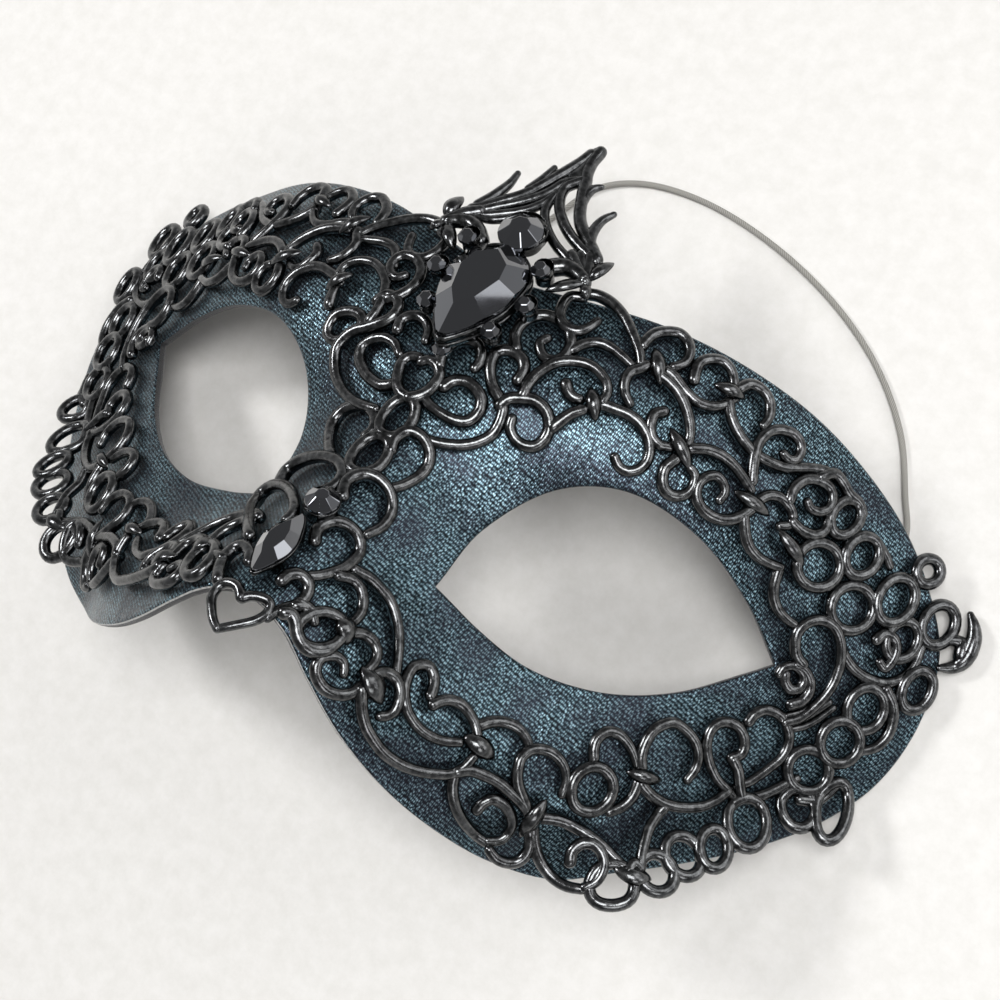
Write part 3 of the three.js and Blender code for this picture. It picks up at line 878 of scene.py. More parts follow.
# Wires of the bands as they run over the left half of the face; the right half mirrors them
browStrokes = [
    [(15, 45.9), (17, 46.6), (19.6, 46.5), (22.5, 45.4), (24.9, 43.8), (27.2, 42), (28.9, 40.4),
     (30, 38.9)],
    [(15, 44.7), (13.2, 43.8), (13.1, 41.4), (14.2, 39.2), (16.1, 38.3), (18.3, 38.9), (19.3, 40.4),
     (19.8, 41.9)],
    [(19, 35.3), (20, 37.2), (21.8, 38.7), (24.1, 39), (26.4, 38.6), (28.7, 38)],
    [(30.9, 39), (30.4, 38), (29.4, 36.7), (29.5, 34.6), (30.6, 32.8), (32.1, 31.7)],
    [(16.1, 24.2), (16, 26.7), (16.6, 29.3), (17.9, 31.7), (20, 33.3), (22.6, 34.2), (25.1, 33.9),
     (27.1, 32.8), (28.1, 31.3), (28.1, 29.7)],
    [(27.1, 28.7), (28.6, 29.4), (30.5, 29.7), (32.7, 30), (35.1, 29.6), (37.1, 28.4), (38.5, 26.7),
     (39.1, 24.6), (38.6, 22.8), (37.2, 21.6), (35.6, 21.6), (34.3, 22.6)],
    [(28.5, 42), (28.5, 43.1), (29, 45), (30.4, 46.4), (32.2, 47.2), (34.1, 46.6), (35.5, 45), (35.9, 43.2),
     (35.3, 41.9), (34.6, 41.2)],
    [(33.1, 38.6), (35.3, 38.3), (38.1, 37.1), (40.3, 35.3), (42, 33.3), (43, 31.4), (43.3, 29.4)],
    [(33.2, 40), (35.1, 40), (38.3, 38.5), (41.1, 37.8), (43.1, 38.3), (44.6, 39.6), (45.6, 41.8)],
    [(38.6, 40.9), (38, 42.6), (37.8, 44.3), (38.8, 45.7), (40.4, 46.5), (42.1, 46.1), (43.5, 44.9),
     (44.8, 43.1)],
    [(45.2, 43.4), (46.2, 45.2), (47.8, 45.5), (49.8, 44.7), (51, 43.1), (51.6, 41.3), (51.5, 39.9)],
    [(45.1, 40.6), (46.9, 38.3), (48.9, 36.7), (50.9, 35.6), (53, 34.9), (55.5, 35), (57.7, 35.5),
     (59.5, 36.7), (61.3, 38), (63.4, 39), (65.5, 38.9), (67.5, 38), (69.5, 36.6)],
    [(54.6, 30.4), (53.2, 33.8), (52.4, 37.1), (52.9, 39.6), (54.1, 40.9), (55.8, 41.5), (57.5, 40.9),
     (58.5, 39.4), (58.5, 37.6), (57.5, 37.1), (56.5, 37.4)],
    [(44, 29.9), (46.2, 31.1), (48.3, 31.5), (50.8, 31.1), (53, 30.1), (55.1, 28.9)],
    [(37.4, 33.4), (36.4, 32.2), (36.7, 30.4), (37.8, 28.7), (39.4, 28), (41.3, 28.6)],
    [(42.9, 27.2), (42.1, 25), (42.7, 22.9), (44, 21.7), (45.7, 21.8), (47, 23.1), (47.2, 25), (46.5, 26.5),
     (45.5, 27)],
    [(56.7, 26.4), (55.6, 23.8), (54.1, 22.3), (52.1, 21.7), (50, 22.1), (48.4, 23.4), (47.8, 25.3),
     (48.3, 27), (49.5, 28), (50.9, 27.5), (51.9, 26.2), (51.8, 24.7)],
    [(56.9, 27.7), (57.2, 28.5), (58.1, 29.9), (59.7, 30.5), (61.6, 29.9), (62.7, 28.7), (62.8, 27.1),
     (61.7, 26.1)],
    [(60.9, 30.9), (60.6, 33.2), (61.5, 35.6), (63.3, 36.7), (65.1, 36.6), (66.4, 35), (66.6, 33.2),
     (65.7, 31.9), (64.2, 31.6), (63.4, 32.3)],
    [(56.3, 24.1), (57.5, 22.1), (58.9, 20.5), (60.8, 19.6), (62.5, 19.5), (64.6, 19.9)],
    [(64.8, 19.5), (65.2, 17.3), (66, 15.2), (67.5, 13.6), (69.4, 12.8), (71.4, 12.6)],
    [(63, 27.8), (64.7, 27.4), (66.8, 27.9), (67.8, 29.4), (67.5, 31.5), (66.9, 34.1)],
    [(74.9, 7.3), (73.5, 8), (72.3, 9.7), (71.8, 11.7), (72.4, 13.9), (74, 15.5), (76.3, 15.7),
     (78.3, 14.2), (79.8, 11.5), (80.4, 9.1), (80.6, 6.6), (80.3, 4), (79.5, 1.1), (78.4, -1.5),
     (76.7, -3.3)],
    [(79.2, 13.1), (80.9, 11.8), (83.1, 10.9), (85.5, 10.8), (88, 11.5), (89.9, 13.1), (90.9, 15.3),
     (91.1, 17.8), (90.8, 20.3)],
    [(83.5, 17.4), (84.2, 19.1), (85.8, 19.2), (87, 18), (87.4, 15.8), (86.9, 13.8), (85.7, 14.3)],
    [(63.1, 37.3), (64.5, 39.2), (66.2, 38.7), (68.1, 37.5), (70.1, 37.1), (71.6, 35.7)],
    [(72.5, 30.6), (73.4, 32.3), (75.3, 32.8), (77.7, 31.8), (79.7, 30.2)],
]
browDrop = [  # the hooked drop at the outer corner, from its thick middle to each end; on the left only
    [(98.2, 23.6), (97.8, 26.2), (96.8, 28.2), (95.3, 29.9)],
    [(98.2, 23.6), (97.9, 21.6), (96.6, 19.8), (94.9, 18.7)],
    [(97.3, 22.4), (96.6, 24.3), (95.1, 24.4), (93.4, 23.2)],
]
browRings = [
    (69.6, 33.5, 2.2, 3.4),
    (74.8, 29, 2.6, 3.7),
    (69.7, 23.7, 3.4, 4),
    (77.7, 20.2, 3.4, 4.1),
    (83.1, 25.3, 2.9, 4.3),
    (85.4, 32.8, 2, 2.4),
    (91.4, 25.4, 2.7, 3.9),
    (87.3, 19.7, 2.5, 3.6),
    (93.2, 13.2, 2.4, 3.7),
]
browLeaves = [
    (32.5, 39.8, 7, -53),
    (44.2, 42.2, 5.5, 5),
    (42.6, 29, 7.6, -38),
    (56.2, 27, 6.6, -6),
    (64.7, 23.7, 7, -31),
    (27, 28.6, 6, -52),
]
cheekStrokes = [
    [(73.3, 4.1), (73.7, 3.1), (75.1, 2.3), (76.1, 3), (76.4, 4.6), (75.6, 5.9), (73.9, 6.3), (72.6, 5.2),
     (72.4, 3.7)],
    [(76.2, 0), (77.4, 1.4), (77.8, 3.5), (77.1, 5.4), (75.4, 6.6), (74, 6.5)],
    [(71.8, -6.3), (72.1, -4.6), (73.3, -3), (75.3, -2.6), (77.1, -3.4), (78.5, -5), (79.1, -7.1),
     (79, -9.1), (78.2, -11.4), (77.2, -13.8), (76.1, -15.9), (74.9, -17.2)],
    [(72, -13.4), (73, -12), (72.8, -10.2), (71.4, -8.4), (69.6, -8), (68, -8.8), (67.2, -10.5),
     (67.4, -12.7), (68.4, -14.8), (70, -16.6), (71.8, -17.9), (73.8, -18.6), (75, -19.1)],
    [(72.4, -13.6), (73.7, -14.7), (75, -16.7), (76.3, -18.5)],
    [(77.4, -18.3), (79.3, -16.3), (80.6, -14.4), (81.8, -12.4), (82.8, -11)],
    [(60.8, -22.4), (59.9, -20.6), (59.5, -18.4), (59.6, -16.1), (60.4, -14.3), (61.8, -12.9), (63.9, -13),
     (65.9, -14), (67.4, -16), (67.9, -18.1), (67.6, -20.4)],
    [(61.9, -24.8), (63.8, -25.6), (65.9, -25.8), (68, -25.3), (70.1, -24.2), (71.8, -22.8), (73, -20.9),
     (73.9, -18.8)],
    [(53.9, -24.7), (53.2, -23.3), (53, -21.5), (53.8, -19.8), (55.4, -19.2), (57.3, -19.8), (58.8, -20.9),
     (60.1, -22.4)],
    [(61.4, -24.7), (61.6, -27.3), (61, -29.6), (59.7, -31.5)],
    [(66.4, -26.5), (65.9, -28.5), (65.4, -30.9), (65.4, -33), (65.5, -35.1), (65.9, -36.7)],
    [(36.7, -29.5), (37.7, -28.1), (39.5, -26.9), (41.7, -26.6), (43.8, -27.5), (45.2, -28.9)],
    [(49, -37.4), (47.4, -35.9), (45.8, -34.3), (44.8, -32.4), (44.4, -30.7), (45.1, -28.7), (46.8, -27.6),
     (48.8, -27.5), (50.7, -28.5), (51.9, -30.3), (52.3, -32.4)],
    [(37.1, -37.2), (38.7, -36), (40.8, -35.6), (43.1, -35.5), (45.3, -36), (47.2, -36.6), (48.7, -37.4)],
    [(37.1, -37.4), (37.4, -39.3), (38.5, -41.6), (39.9, -43.3), (41.5, -44.5), (43.3, -45.3),
     (44.9, -45.3)],
    [(41.9, -41.1), (42.3, -39.6), (43.4, -38.3), (45, -38.2), (46.5, -39.1), (47.3, -40.4), (47.1, -42.3),
     (46, -43.9), (44.5, -45)],
    [(49.7, -39.4), (50.5, -40.8), (50.6, -42.3), (49.6, -44.2), (47.8, -45.9), (46, -46.6), (44.9, -46)],
    [(50.6, -37.5), (53.8, -36.3), (56.3, -36.1), (58.8, -36.1), (61.1, -36.6), (63.1, -37.3),
     (64.3, -37.6)],
    [(50.5, -39.3), (51.2, -40.9), (52.4, -42.1), (54.3, -42.9), (56.5, -43.2), (58.6, -43.1),
     (60.4, -42.6)],
    [(57.2, -40.1), (56.9, -38.9), (57.7, -37.4), (59.1, -36.7), (60.4, -37), (61.4, -38.1), (61.7, -39.5),
     (61.5, -40.9), (60.6, -42.2)],
    [(9.2, -16.8), (10.9, -16.7), (13.1, -17.4), (15.3, -18.5), (17.3, -20.2), (19.3, -22.4), (21, -24.9),
     (22.7, -28)],
    [(8.3, -19), (9.6, -18.5), (11, -18.9), (12.3, -20), (13.5, -21.7), (14, -23.3), (13.9, -24.8)],
    [(14.7, -26.1), (15.9, -25.4), (17.6, -25.8), (18.9, -26.9), (19.6, -28.4), (19.6, -30)],
    [(20.3, -32.4), (19.8, -33.8), (18.6, -34.9), (16.9, -35.2), (15.2, -34.3), (14.2, -32.8),
     (14.2, -31.3), (15.4, -30.2), (16.7, -30.6), (17.6, -31.9)],
    [(20.7, -30.4), (21.5, -29.1), (22.9, -29.1), (24.4, -30.2), (25.4, -31.8), (25.6, -33.3), (25, -34.6),
     (24.3, -35.1)],
    [(20.5, -32.7), (21.3, -34.4), (22.2, -36), (23.5, -37.6), (25.2, -38.9), (27.2, -40), (29.6, -40.4),
     (32.1, -40.1), (34.4, -39.2), (36.4, -38), (37.6, -36.1), (38.2, -33.8)],
    [(28.5, -29), (28, -27.4), (27.1, -26), (25.8, -25), (24.7, -25.2), (24.1, -26.2), (24.3, -27.9),
     (25.2, -30.1), (26.5, -31.8), (27.8, -32.8), (29.5, -33.8), (31.5, -34.2), (33.5, -33.9),
     (35.6, -32.9)],
    [(29.5, -30.1), (30.2, -28.9), (31.3, -28.1), (32.9, -28), (34.8, -28.8), (36.2, -29.8), (37.4, -31.2),
     (38.8, -32.1)],
    [(88.8, 10.6), (90.8, 9), (92, 6.5), (92.4, 3.4), (91.5, 0.6), (89.8, -1.2)],
    [(84.8, -14), (87.1, -12.8), (88.4, -10.7), (89.1, -8.3)],
    [(7.2, -25.5), (8.9, -25.7), (10.3, -27.1)],
    [(64.6, -37.9), (64.9, -36.4), (65.9, -36.7)],
]
ribbedStrokes = [  # a bundle of thin lines at the left temple
    [(76.5, -2.2), (78.2, -0.4), (79.7, 2.2), (80.7, 4.4)],
    [(77.2, -3.2), (79, -1.3), (80.5, 1.3), (81.6, 3.7)],
    [(78.1, -4), (80, -2.1), (81.5, 0.5), (82.6, 3.2)],
]
cheekRings = [
    (87.3, 5.8, 3, 4),
    (86, -1.6, 3.2, 3.9),
    (83.7, -8.7, 3.4, 3.7),
    (84.8, -15.4, 2.6, 3.3),
    (78.2, -21.9, 2.9, 4.1),
    (74.6, -28.5, 2.1, 3.1),
    (71, -32, 2.7, 3),
    (68.2, -36.3, 2.5, 2.7),
    (55.8, -29.4, 3, 3.8),
    (11.6, -27.8, 2.7, 3.1),
    (63.6, -40.6, 2.7, 3),
]
outerRing = (89.6, -12.9, 2.4, 5.2)  # on the left half only
cheekLeaves = [
    (61.6, -23.4, 5.5, 17),
    (38.3, -32.2, 5.5, -7),
    (13.8, -26.1, 5.2, -49),
    (49.7, -37.8, 7.5, 76),
    (65.2, -37.9, 5, 9),
    (21.2, -31.6, 6.2, -34),
]
# Wires down the middle, which differ a little from left to right
noseLeft = [
    [(2.1, 4.4), (1.6, 6.8), (2.6, 9), (4.5, 9.4), (6.5, 8.4), (7.7, 6.6), (8, 4.3), (7.4, 1.9),
     (6.4, -0.3), (5.2, -2)],
    [(1.3, -7.1), (0.4, -5.3), (0.4, -3.4), (1.3, -1.9), (3, -1.3), (5.1, -1.9), (6.7, -3.4), (7.7, -5.6),
     (7.8, -8.2), (7, -10.6)],
    [(2.8, -15.7), (2, -14.1), (2.1, -12.4), (2.9, -11.2), (4.4, -10.7), (6.1, -11.2), (7.4, -12.6),
     (8.1, -15), (8, -17.5), (6.6, -20.2), (5.7, -21.1)],
    [(3.4, -23.8), (3.6, -22.5), (4.6, -21.7), (5.9, -22), (6.9, -23.1), (7.3, -24.7), (7.1, -26.2),
     (6.5, -28)],
    [(-0.1, 14.2), (1.5, 16), (2.2, 18.1), (2.1, 20.2), (0.8, 21.6), (-1, 21.9), (-2, 21)],
    [(14, 26.2), (13.9, 28.2), (12.8, 29.7), (11.1, 30.2), (9.3, 29.9), (8.1, 28.6), (8.3, 26.8),
     (9.3, 24.8), (10.8, 23.2), (12.7, 22), (14.2, 20.7), (14.8, 18.4), (14.6, 16), (13.1, 13.6),
     (11, 11.7), (8.7, 10.4), (6.6, 9.6), (4.3, 9.1), (2.2, 9.2)],
    [(3.7, 18.9), (4.6, 20.7), (6.5, 21.6), (8.6, 21.3), (10.3, 20.1), (10.9, 18.3), (10.4, 16.2),
     (9.1, 15.1), (7.1, 14.6), (5.1, 14.6), (3.3, 14.9), (2, 15.5)],
    [(1, 21.9), (0.4, 23.8), (0.5, 25.6), (1.2, 27.3), (2.8, 28.3), (4.6, 28.4), (6.1, 27.3), (6.7, 25.7),
     (6.6, 24.3)],
    [(10.7, 30.9), (9.4, 32.6), (8.9, 34.9), (9.5, 37.1), (11.3, 38.8), (13.9, 39.1), (16.4, 38.3),
     (18.1, 36.5), (18.5, 34.2), (17.7, 32.4), (16, 31.9), (14.4, 32.7), (13.6, 34), (14.2, 35.2)],
    [(13.5, 20.9), (14.2, 22.5), (15.9, 23.6), (18, 24.4), (20, 24.2), (21.8, 23), (22.7, 21.3),
     (22.7, 19.4), (21.7, 17.7), (20, 17), (18.1, 17.3), (16.8, 18.4), (16.4, 19.9)],
    [(23.1, 22), (23.9, 23.8), (24.8, 25.5), (26.2, 27)],
    [(21.4, 29.5), (22.3, 28.6), (23.5, 28.1), (24.7, 28.3)],
    [(7.1, -26.2), (7.8, -25.7), (8.9, -25.9)],
    [(6.5, -28), (7.2, -27.7), (8.4, -28.4), (9.6, -29.9), (11.2, -31.1), (12.8, -31.3), (14, -30.2),
     (14.3, -28.8)],
]
noseRight = [
    [(-5.8, -1.4), (-9.3, 1.4), (-11.4, 4.9), (-10.6, 8), (-8, 9.7), (-5.1, 9.4), (-3.2, 8), (-2.5, 6.2),
     (-2.9, 4.7)],
    [(-12.8, -10), (-13.9, -7.1), (-12.5, -4.7), (-9.5, -2.8), (-6.2, -1.8), (-3.3, -1.9), (-1.4, -3.1),
     (-0.7, -4.8), (-0.8, -6.5), (-1.6, -7.9)],
    [(-5.7, -20.3), (-10.4, -17.9), (-14.6, -15.6), (-15.6, -12.7), (-13.9, -10.7), (-10.3, -9.9),
     (-6.2, -10.5), (-3.6, -11.9), (-2.4, -13.4), (-2.3, -15.2)],
    [(-5.1, -28.4), (-6.7, -26.5), (-7.4, -24.6), (-7, -22.9), (-5.6, -21.9), (-3.6, -22.4), (-2.6, -23.7)],
    [(-0.1, 14.2), (-1.8, 14.4), (-3.6, 15.7), (-4.8, 17.8), (-5.3, 19.7), (-4.5, 21.2), (-2.9, 21.7)],
    [(-17.1, 28), (-16.1, 29.7), (-13.9, 29.7), (-12.4, 28.3), (-12.4, 26.3), (-13.8, 24.5), (-15.8, 22.9),
     (-17.8, 21.6), (-19, 19.8), (-19.5, 17.5), (-18.4, 15.2), (-16.5, 13), (-13.6, 11.2), (-10.3, 10),
     (-6.9, 9.6), (-4.2, 9.8)],
    [(-4.4, 15.4), (-6.2, 14.4), (-9, 14.7), (-11.7, 15.7), (-14, 17.4), (-14.8, 19.6), (-13.7, 21.4),
     (-11.7, 22.5), (-9.1, 22.3), (-6.9, 20.8)],
    [(-10, 24.7), (-10.4, 26.5), (-9.5, 27.8), (-7.8, 28.5), (-5.9, 28), (-4.5, 26.7), (-3.9, 24.9)],
    [(-15.4, 29.1), (-13.8, 30.4), (-12.6, 32.5), (-12.5, 34.8), (-13.8, 37.1), (-16.1, 38.2),
     (-18.5, 37.7), (-19.4, 36.1), (-18.9, 34.2), (-16.7, 33.3), (-15.4, 34.3)],
    [(-17.3, 23), (-18.2, 24.2), (-20.1, 24.7), (-22.2, 24.2), (-23.8, 22.9), (-24.2, 20.9), (-23.5, 19.2),
     (-21.5, 18.6), (-19.7, 19.4)],
    [(-26.3, 24.1), (-26.9, 26), (-27.2, 27.3)],
]
heartStrokes = [  # the open heart at the tip of the nose, and the short arm that carries it
    [(0.5, -29.1), (1.3, -28.2), (2.5, -27.6), (3.8, -27.5), (4.6, -28.3), (4.7, -29.6), (4, -31.2),
     (2.4, -32.9), (0.2, -35)],
    [(0.4, -29.1), (-0.5, -28.2), (-1.7, -27.9), (-3, -28.4), (-3.7, -29.6), (-3.6, -31.2), (-2.4, -32.8),
     (-1, -34.2), (0.2, -35)],
    [(5.1, -29.7), (5.6, -28.2), (6.3, -26.8), (7, -26.1), (8.2, -26.4)],
]
noseRings = [(0, 10.2, 2.4, 4), (0, 1.8, 2.4, 4)]


def addStrokes(shape, strokes, side, place, thick=1.0):
    for index, stroke in enumerate(strokes):
        lift = scrollSize["weave"] * math.sin(index * scrollSize["weaveTurns"]["wires"])
        addWire(shape, mirroredStroke(stroke, side), place, thick, scrollSize["tipShare"], lift)


# The right half's bands sit a little higher under the eye and are drawn together at the bottom
rightBend = {
    "lowFrom": -31,
    "lowOver": 12,
    "drawn": 0.3,
    "drawnTo": 45,
    "middleFrom": -10,
    "middleOver": 14,
    "rise": 2.3,
    "riseAt": 48,
    "riseWidth": 22,
}


def settled(x, y, side):
    if side > 0:
        return x, y
    b = rightBend
    low = eased((b["lowFrom"] - y) / b["lowOver"])
    middle = eased((b["middleFrom"] - y) / b["middleOver"])
    rise = b["rise"] * hump(x - b["riseAt"], b["riseWidth"]) * middle
    return x - b["drawn"] * (x - b["drawnTo"]) * low, y + rise + low


def makeBand(name, node, strokes, rings, leaves, side, extras=()):
    shape = Shape()
    addStrokes(shape, [[settled(x, y, side) for x, y in stroke] for stroke in strokes], side, onScroll)
    for index, (x, y, reachX, reachY) in enumerate(rings):
        oval = (*settled(x, y, side), reachX, reachY)
        lift = scrollSize["weave"] * math.sin(index * scrollSize["weaveTurns"]["rings"])
        addRing(shape, oval, side, onScroll, lift)
    for x, y, length, lean in leaves:
        addLeaf(shape, (*settled(x, y, side), length, lean), side, onScroll)
    for stroke, thick, tip in extras:
        addWire(shape, stroke, onScroll, thick, tip)
    return finishPiece(shape.build(name, [castMaterial]), node, slot="black_casting")


def makeBands():
    share, tip = scrollSize["dropShare"], scrollSize["dropTip"]
    drop = [(stroke, share, tip) for stroke in browDrop]
    ribs = [(stroke, scrollSize["ribShare"], 1.0) for stroke in ribbedStrokes]
    leftOnly = {"brow": drop, "cheek": ribs}
    bands = {
        "brow": (browStrokes, browRings, browLeaves),
        "cheek": (cheekStrokes, cheekRings, cheekLeaves),
    }
    for side, word in ((1, "left"), (-1, "right")):
        for part, (strokes, rings, leaves) in bands.items():
            if side > 0 and part == "cheek":
                rings = rings + [outerRing]
            extras = leftOnly[part] if side > 0 else []
            names = (f"{part}_scrolls_{word}", f"{part}_filigree_{word}")
            makeBand(*names, strokes, rings, leaves, side, extras)


makeBands()
print("bands made")

# Stones: black glass with a mirror coat, ground in flat facets
stoneLook = {
    "body": "#63656a",
    "roughness": 0.03,
    "spread": (0.5, 2),  # from the clearest to the dullest spots, in roughnesses
    "cloudMm": 3,
    "metallic": 1.0,
    "coatRoughness": 0.02,
    "bevelMm": 0.08,
    "bevelDegrees": 12,
}


def makeStoneMaterial():
    material, tree = newMaterial("cutCoatedGlass")
    place = addNode(tree, "ShaderNodeTexCoord")
    clouds = addNode(
        tree,
        "ShaderNodeTexNoise",
        {"Scale": 1 / (stoneLook["cloudMm"] * mm), "Detail": 2.0},
        {"Vector": place.outputs["Object"]},
    )
    clearest, dullest = (stoneLook["roughness"] * share for share in stoneLook["spread"])
    rough = addNode(
        tree,
        "ShaderNodeMapRange",
        {"To Min": clearest, "To Max": dullest},
        {"Value": clouds.outputs["Fac"]},
    )
    finishMaterial(
        tree,
        {
            "Base Color": toLinear(stoneLook["body"]),
            "Metallic": stoneLook["metallic"],
            "Coat Weight": 1.0,
            "Coat Roughness": stoneLook["coatRoughness"],
        },
        {"Roughness": rough.outputs["Result"]},
    )
    return material


stoneMaterial = makeStoneMaterial()

# Places and sizes of the stones. The pear's and marquise's tables and girdles are heights over their foot.
# A round cut's table is a share of its radius.
pearCut = {
    "y": 37.6,
    "lift": 0.3,
    "girdle": 2.2,
    "table": 5.2,
    "girdleHalf": [
        (0, -12.6), (3.2, -9.4), (5.6, -5.2), (6.7, -2.2), (7.0, 0.8), (6.9, 4.7), (5.4, 7.6), (3.0, 9.4),
        (0, 10.3),
    ],
    "tableHalf": [(0, -7.7), (2.4, -4.7), (4.0, 0.6), (3.2, 4.2), (0, 6.4)],
}
marquiseCut = {
    "y": -19.6,
    "lift": 0.7,
    "girdle": 1.2,
    "table": 2.9,
    "half": [(0, -6.6), (2.1, -3.5), (3, 0), (2.1, 3.5), (0, 6.6)],
    "tableShares": (0.52, 0.6),  # across and along
}
roundCuts = {
    "crest_stone": {
        "at": (0.1, 50.6), "lift": 2.4, "crown": True,
        "radius": 4.2, "height": 3.2, "table": 0.46, "turn": 0.75,
    },
    "nose_stone": {
        "at": (0.2, -10.2), "lift": 0.7, "crown": False,
        "radius": 3, "height": 2.6, "table": 0.4, "turn": 0.5,
    },
}
roundSides = {"table": 8, "girdle": 16}
smallCut = {"radius": 1.75, "height": 1.9, "lift": 0.3, "table": 0.6, "turn": 0.5}
smallSides = {"table": 6, "girdle": 12}
smallPlaces = [
    (7.9, 45.6, 2.4), (-7.8, 45.6, 2.4), (9.6, 38.2, 1.8), (-9.2, 38.2, 1.8),
    (7, 31.2, 0.8), (-6.7, 31.4, 0.8),
]
chinStone = {"y": 24.6, "lift": 0.7}
cutShares = {"girdle": 0.4, "waist": 0.45, "foot": 0.72}  # of the height, of the girdle and of the outline
outlineSteps = {"round": 3, "marquise": 6}


# The directions in which a stone lies at a place: across, up the face, out
def seatAxes(x, y, lift, place):
    reach = 0.5
    across = (place(x + reach, y, lift) - place(x - reach, y, lift)).normalized()
    upward = place(x, y + reach, lift) - place(x, y - reach, lift)
    outward = across.cross(upward).normalized()
    return across, outward.cross(across), outward


# Ground facets all round the table. Each runs down to the girdle at the middle of its stretch of the outline,
# and where two meet they share an edge, as a grinding wheel leaves them.
def addStone(shape, x, y, lift, place, tableLine, outline, girdleHeight, tableHeight):
    across, upward, outward = seatAxes(x, y, lift, place)
    base = place(x, y, lift)

    def at(out, up, high):
        return base + across * out + upward * up + outward * high

    count = len(tableLine)
    facets = []
    for here in range(count):
        one, two = Vector(tableLine[here]), Vector(tableLine[(here + 1) % count])
        away = Vector((two.y - one.y, one.x - two.x)).normalized()
        middle = (one + two) / 2
        far = max(outline, key=lambda spot: (spot - middle).normalized().dot(away))
        facets.append((one, away, (tableHeight - girdleHeight) / (far - one).dot(away)))

    def level(facet, spot):
        one, away, slope = facets[facet]
        return tableHeight - slope * (spot - one).dot(away)

    def lowest(spot):
        return min(range(count), key=lambda facet: level(facet, spot))

    rim, starts = [], {}
    for index, spot in enumerate(outline):
        after = outline[(index + 1) % len(outline)]
        here, there = lowest(spot), lowest(after)
        rim.append((spot, level(here, spot)))
        if here != there:
            gap, nextGap = (level(here, end) - level(there, end) for end in (spot, after))
            meet = spot.lerp(after, gap / (gap - nextGap))
            starts[there] = len(rim)
            rim.append((meet, level(here, meet)))
    tableRing = shape.addCorners(at(*corner, tableHeight) for corner in tableLine)
    upperRing = shape.addCorners(at(*spot, high) for spot, high in rim)
    lowerRing = shape.addCorners(at(*spot, girdleHeight * cutShares["waist"]) for spot, _ in rim)
    footRing = shape.addCorners(at(*(spot * cutShares["foot"]), 0) for spot, _ in rim)
    shape.addFace(tableRing)
    for here in range(count):
        there = (here + 1) % count
        stretch = (starts[there] - starts[here]) % len(rim)
        ends = [upperRing[(starts[here] + step) % len(rim)] for step in range(stretch + 1)]
        shape.addFace([tableRing[here], *ends, tableRing[there]])
    shape.addBand(lowerRing, upperRing)
    shape.addBand(footRing, lowerRing)
    shape.addFace(list(reversed(footRing)))


def fineOutline(points, steps):
    return flatLine(points, steps, closed=True)


def makeStone(name, node, x, y, lift, place, tableLine, outline, girdleHeight, tableHeight):
    shape = Shape()
    addStone(shape, x, y, lift, place, tableLine, outline, girdleHeight, tableHeight)
    piece = finishPiece(shape.build(name, [stoneMaterial], smooth=False), node, slot="black_stone")
    bevel = piece.modifiers.new("ground edges", "BEVEL")
    bevel.width = stoneLook["bevelMm"] * mm
    bevel.segments = 1
    bevel.limit_method = "ANGLE"
    bevel.angle_limit = math.radians(stoneLook["bevelDegrees"])
    return piece


def roundLine(radius, count, turn=0.0):
    angles = [2 * math.pi * (step + turn) / count for step in range(count)]
    return [(radius * math.cos(angle), radius * math.sin(angle)) for angle in angles]


def pearOutline():
    return fineOutline(bothHalves(pearCut["girdleHalf"]), outlineSteps["round"])


def marquiseOutline():
    return fineOutline(bothHalves(marquiseCut["half"]), outlineSteps["marquise"])


def makeRoundStone(name, node, place, cut, sides):
    radius, height = cut["radius"], cut["height"]
    table = roundLine(radius * cut["table"], sides["table"], cut["turn"])
    girdle = fineOutline(roundLine(radius, sides["girdle"]), outlineSteps["round"])
    makeStone(name, node, *place, table, girdle, height * cutShares["girdle"], height)


def makeStones():
    place = (0, pearCut["y"], pearCut["lift"], onCrown)
    heights = (pearCut["girdle"], pearCut["table"])
    makeStone("cut_pear", "pear_stone", *place, bothHalves(pearCut["tableHalf"]), pearOutline(), *heights)
    across, along = marquiseCut["tableShares"]
    table = [(x * across, y * along) for x, y in bothHalves(marquiseCut["half"])]
    place = (0, marquiseCut["y"], marquiseCut["lift"], onScroll)
    heights = (marquiseCut["girdle"], marquiseCut["table"])
    makeStone("cut_marquise", "marquise_stone", *place, table, marquiseOutline(), *heights)
    for node, cut in roundCuts.items():
        place = (*cut["at"], cut["lift"], onCrown if cut["crown"] else onScroll)
        makeRoundStone(f"cut_{node}", node, place, cut, roundSides)
    places = [(x, y, lift + smallCut["lift"], onCrown) for x, y, lift in smallPlaces]
    places.append((0, chinStone["y"], chinStone["lift"], onScroll))
    for number, place in enumerate(places):
        makeRoundStone(f"cut_small_{number + 1}", f"small_stone_{number + 1}", place, smallCut, smallSides)


makeStones()
print("stones made")

